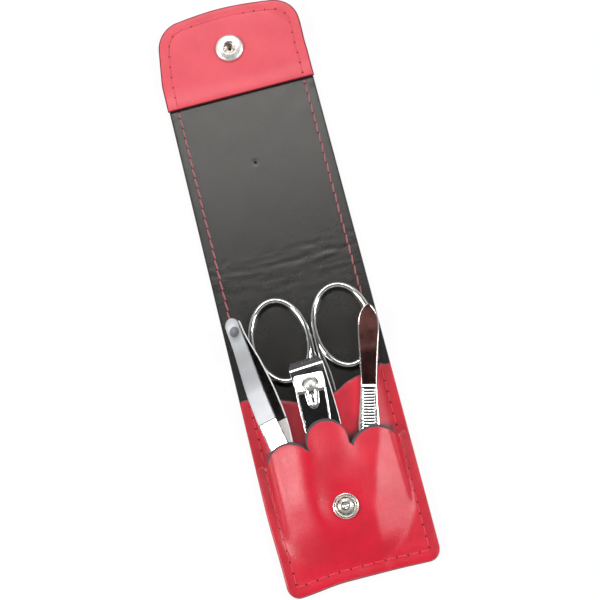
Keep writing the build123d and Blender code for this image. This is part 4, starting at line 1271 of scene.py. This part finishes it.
# The rear arm is cut from the darker steel, painted shade, with near-white steel for a painted highlight.
for name, section, node, body, metals in (
        ("tweezer_front_strip", front_arm, "tweezer_front_arm", "front_arm", [SATIN, POLISHED, PAINTED_SHADOW]),
        ("tweezer_rear_strip", rear_arm, "tweezer_rear_arm", "rear_arm", [PAINTED_SHADE_STEEL, PAINTED_HIGHLIGHT_STEEL, PAINTED_SHADOW])):
    strip = bar(name, levels(0.0, -80.0, 0.5, 2.5), section, TWEEZERS, metals, body)
    tip_polish_and_painted_light(strip)
    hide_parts(node)
# The rivet shows through the dimple in the darker steel: painted shade.
tie = lathe("tweezer_tie_rivet", rounded([
    (0.0, -1.5), (1.7, -1.5), (1.8, -1.3), (1.0, -1.2), (1.0, 0.7), (2.1, 1.2), (2.15, 1.34), (1.9, 1.33),
    (1.3, 1.2), (0.6, 1.08), (0.0, 1.05)], 0.12), DIMPLE_SHADE, "tweezers",
    TWEEZERS @ at(0.1, -5.9, 0), 48)
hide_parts("tweezer_rivet")


# ---------------- nail file
FILE_PLACE = at(28.4, -18.61, 6.0) @ turned(-13.9, "Z")
FILE_LENGTH = 91.0
FILE_T = 1.2
FILE_HALF = table([(0.0, 0.25), (-0.5, 1.05), (-1.4, 1.95), (-3.0, 2.95), (-4.5, 3.55), (-6.5, 4.05),
                   (-9.0, 4.25), (-12.0, 4.2), (-16.0, 3.95), (-24.0, 3.5), (-32.0, 3.25), (-38.0, 3.45),
                   (-50.0, 4.2), (-60.0, 4.0), (-83.0, 2.7), (-89.0, 2.0), (-91.0, 2.0)])
PANEL_DEPTH = 0.16
NECK_Y = -34.0                      # between the head with its sunk panel and the ridged blade
RIDGED = (-34.3, -76.0)
RIDGE_PITCH = 1.2
RIDGE_DEPTH = 0.12


def ridge_wave(y):
    """How deep the blade's cross grooves are at a level, from 0 on a ridge to 1 in a groove."""
    return 0.5 - 0.5 * math.cos(2 * math.pi * (y - RIDGED[0]) / RIDGE_PITCH)


def file_section(y):
    w = max(FILE_HALF(y) * round_end(y, -FILE_LENGTH - 0.05, 2.1), 0.05)
    if y > NECK_Y:
        inner = w - min(0.52 + 0.25 * smooth_step(-5.0, -1.0, y), 0.6 * w)
        panel = PANEL_DEPTH * smooth_step(-0.7, -1.0, y) * smooth_step(-32.9, -32.6, y)
        step = PANEL_DEPTH * (smooth_step(-32.4, -32.7, y) - smooth_step(-33.3, -33.6, y))
        down = panel * (y > -33) + step * (y <= -32.4)
    else:
        inner = min(2.25 + 0.3 * smooth_step(-35.5, -76.0, y), w * 0.75)
        down = RIDGE_DEPTH * ridge_wave(y) * (RIDGED[1] < y < RIDGED[0])
    floor_z = FILE_T - down * (w >= 1.2)
    right = [(w - 0.25, 0.0), (w, 0.2), (w, FILE_T - 0.32), (max(w - 0.22, 0.02), FILE_T),
             (max(inner + 0.08, 0.02), FILE_T), (max(inner, 0.015), floor_z), (0.94 * inner, floor_z),
             (0.5 * inner, floor_z)]
    right = [(max(x, 0.01), z) for x, z in right]
    return right + mirrored(right)


file_rows = [0.0, -0.12, -0.3, -0.5, -0.7, -1.0, -1.4, -1.8, -2.3, -2.8, -3.4]
file_rows += list(np.arange(-4.0, -33.9, -0.35)) + list(np.arange(-34.1, -FILE_LENGTH, -0.15))
file_rows += [-FILE_LENGTH]
nail = bar("nail_file_blank", file_rows, file_section, FILE_PLACE, [FILE, FILE_DARK, RIDGES, GROOVE_SHADE], "file")
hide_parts("nail_file")
for face in nail.data.polygons:
    c = FILE_PLACE.inverted() @ (Vector(face.center) / MM)
    edge = FILE_HALF(c.y) - abs(c.x)
    if -33.2 < c.y < -0.85 and c.z > 0.9 and edge > 0.5:
        face.material_index = 1
    # Ridge faces take the bright ridge steel, their grooves the darker steel: painted shade.
    elif c.y < RIDGED[0] and c.z > 0.9 and edge > 0.46:
        face.material_index = 3 if ridge_wave(c.y) > 0.55 and c.y > RIDGED[1] and abs(c.x) < 2.1 else 2

for name in ("snap_post", "snap_spring"):
    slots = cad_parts[name].material_slots
    if slots:
        slots[0].material = PLATED
    else:
        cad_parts[name].data.materials.append(PLATED)


# ---------------- camera, light and floor
def camera():
    data = bpy.data.cameras.new("camera")
    data.sensor_width = 36.0
    data.sensor_height = 36.0
    data.sensor_fit = "HORIZONTAL"
    data.lens = 1719.5 / 600.0 * 36.0
    data.clip_end = 20.0
    height, turn, roll = math.radians(74.0), math.radians(2.18), math.radians(-16.62)
    back = Vector((math.sin(turn) * math.cos(height), -math.cos(turn) * math.cos(height), math.sin(height)))
    right = Vector((math.cos(turn), math.sin(turn), 0))
    up = back.cross(right)
    x = right * math.cos(roll) + up * math.sin(roll)
    y = up * math.cos(roll) - right * math.sin(roll)
    place = (Vector((2.42, -8.24, 0.0)) + back * 694.7) * MM
    obj = place_in_scene("camera", data)
    obj.matrix_world = Matrix.Translation(place) @ Matrix((x, y, back)).transposed().to_4x4()
    bpy.context.scene.camera = obj


def lamp(name, place, aim, size, power):
    data = bpy.data.lights.new(name, "AREA")
    data.shape = "RECTANGLE"
    data.size, data.size_y = size
    data.energy = power
    obj = place_in_scene(name, data)
    obj.location = place
    obj.rotation_euler = (Vector(aim) - Vector(place)).to_track_quat("-Z", "Y").to_euler()


def floor():
    """A white sheet that takes a faint shadow."""
    mesh = bpy.data.meshes.new("floor")
    corners = ((-3, -3), (3, -3), (3, 3), (-3, 3))
    mesh.from_pydata([(x, y, -0.0003) for x, y in corners], [], [(0, 1, 2, 3)])
    m = material("floor", (0.9, 0.9, 0.9), 0.0, 0.9)
    w = Web(m.node_tree)
    seen = w.add("ShaderNodeLightPath", out="Is Camera Ray")
    share = w.add("ShaderNodeMath", seen, 0.90, operation="MULTIPLY")
    glow = w.add("ShaderNodeEmission", (1, 1, 1, 1), 1.0)
    mix = w.add("ShaderNodeMixShader", share, w.shader.outputs["BSDF"], glow)
    w.put(m.node_tree.nodes["Material Output"].inputs["Surface"], mix)
    mesh.materials.append(m)
    place_in_scene("floor", mesh)


def tent():
    """A plain white light tent with an opening overhead, so that polished metal has dark to mirror."""
    world = bpy.data.worlds.new("studio")
    bpy.context.scene.world = world
    world.use_nodes = True
    w = Web(world.node_tree)
    height = w.add("ShaderNodeSeparateXYZ", w.add("ShaderNodeTexCoord", out="Generated"), out="Z")
    glow = w.ramp(height, (0.0, 0.75), (0.30, 1.0), (0.80, 0.95), (0.90, 0.45), (0.955, 0.07), (1.0, 0.03))
    sky = world.node_tree.nodes["Background"].inputs
    w.put(sky["Color"], glow)
    w.put(sky["Strength"], 0.365)


camera()
floor()
tent()
bpy.context.scene.view_settings.view_transform = "Standard"
lamp("softbox", (0.0, 0.62, 1.10), (0, 0.03, 0), (0.7, 0.26), 5.0)
lamp("left_panel", (-0.88, -0.06, 0.77), (0, -0.06, 0), (0.40, 0.30), 8.6)
lamp("right_panel", (0.79, -0.13, 0.84), (0, -0.06, 0), (0.31, 0.30), 7.4)
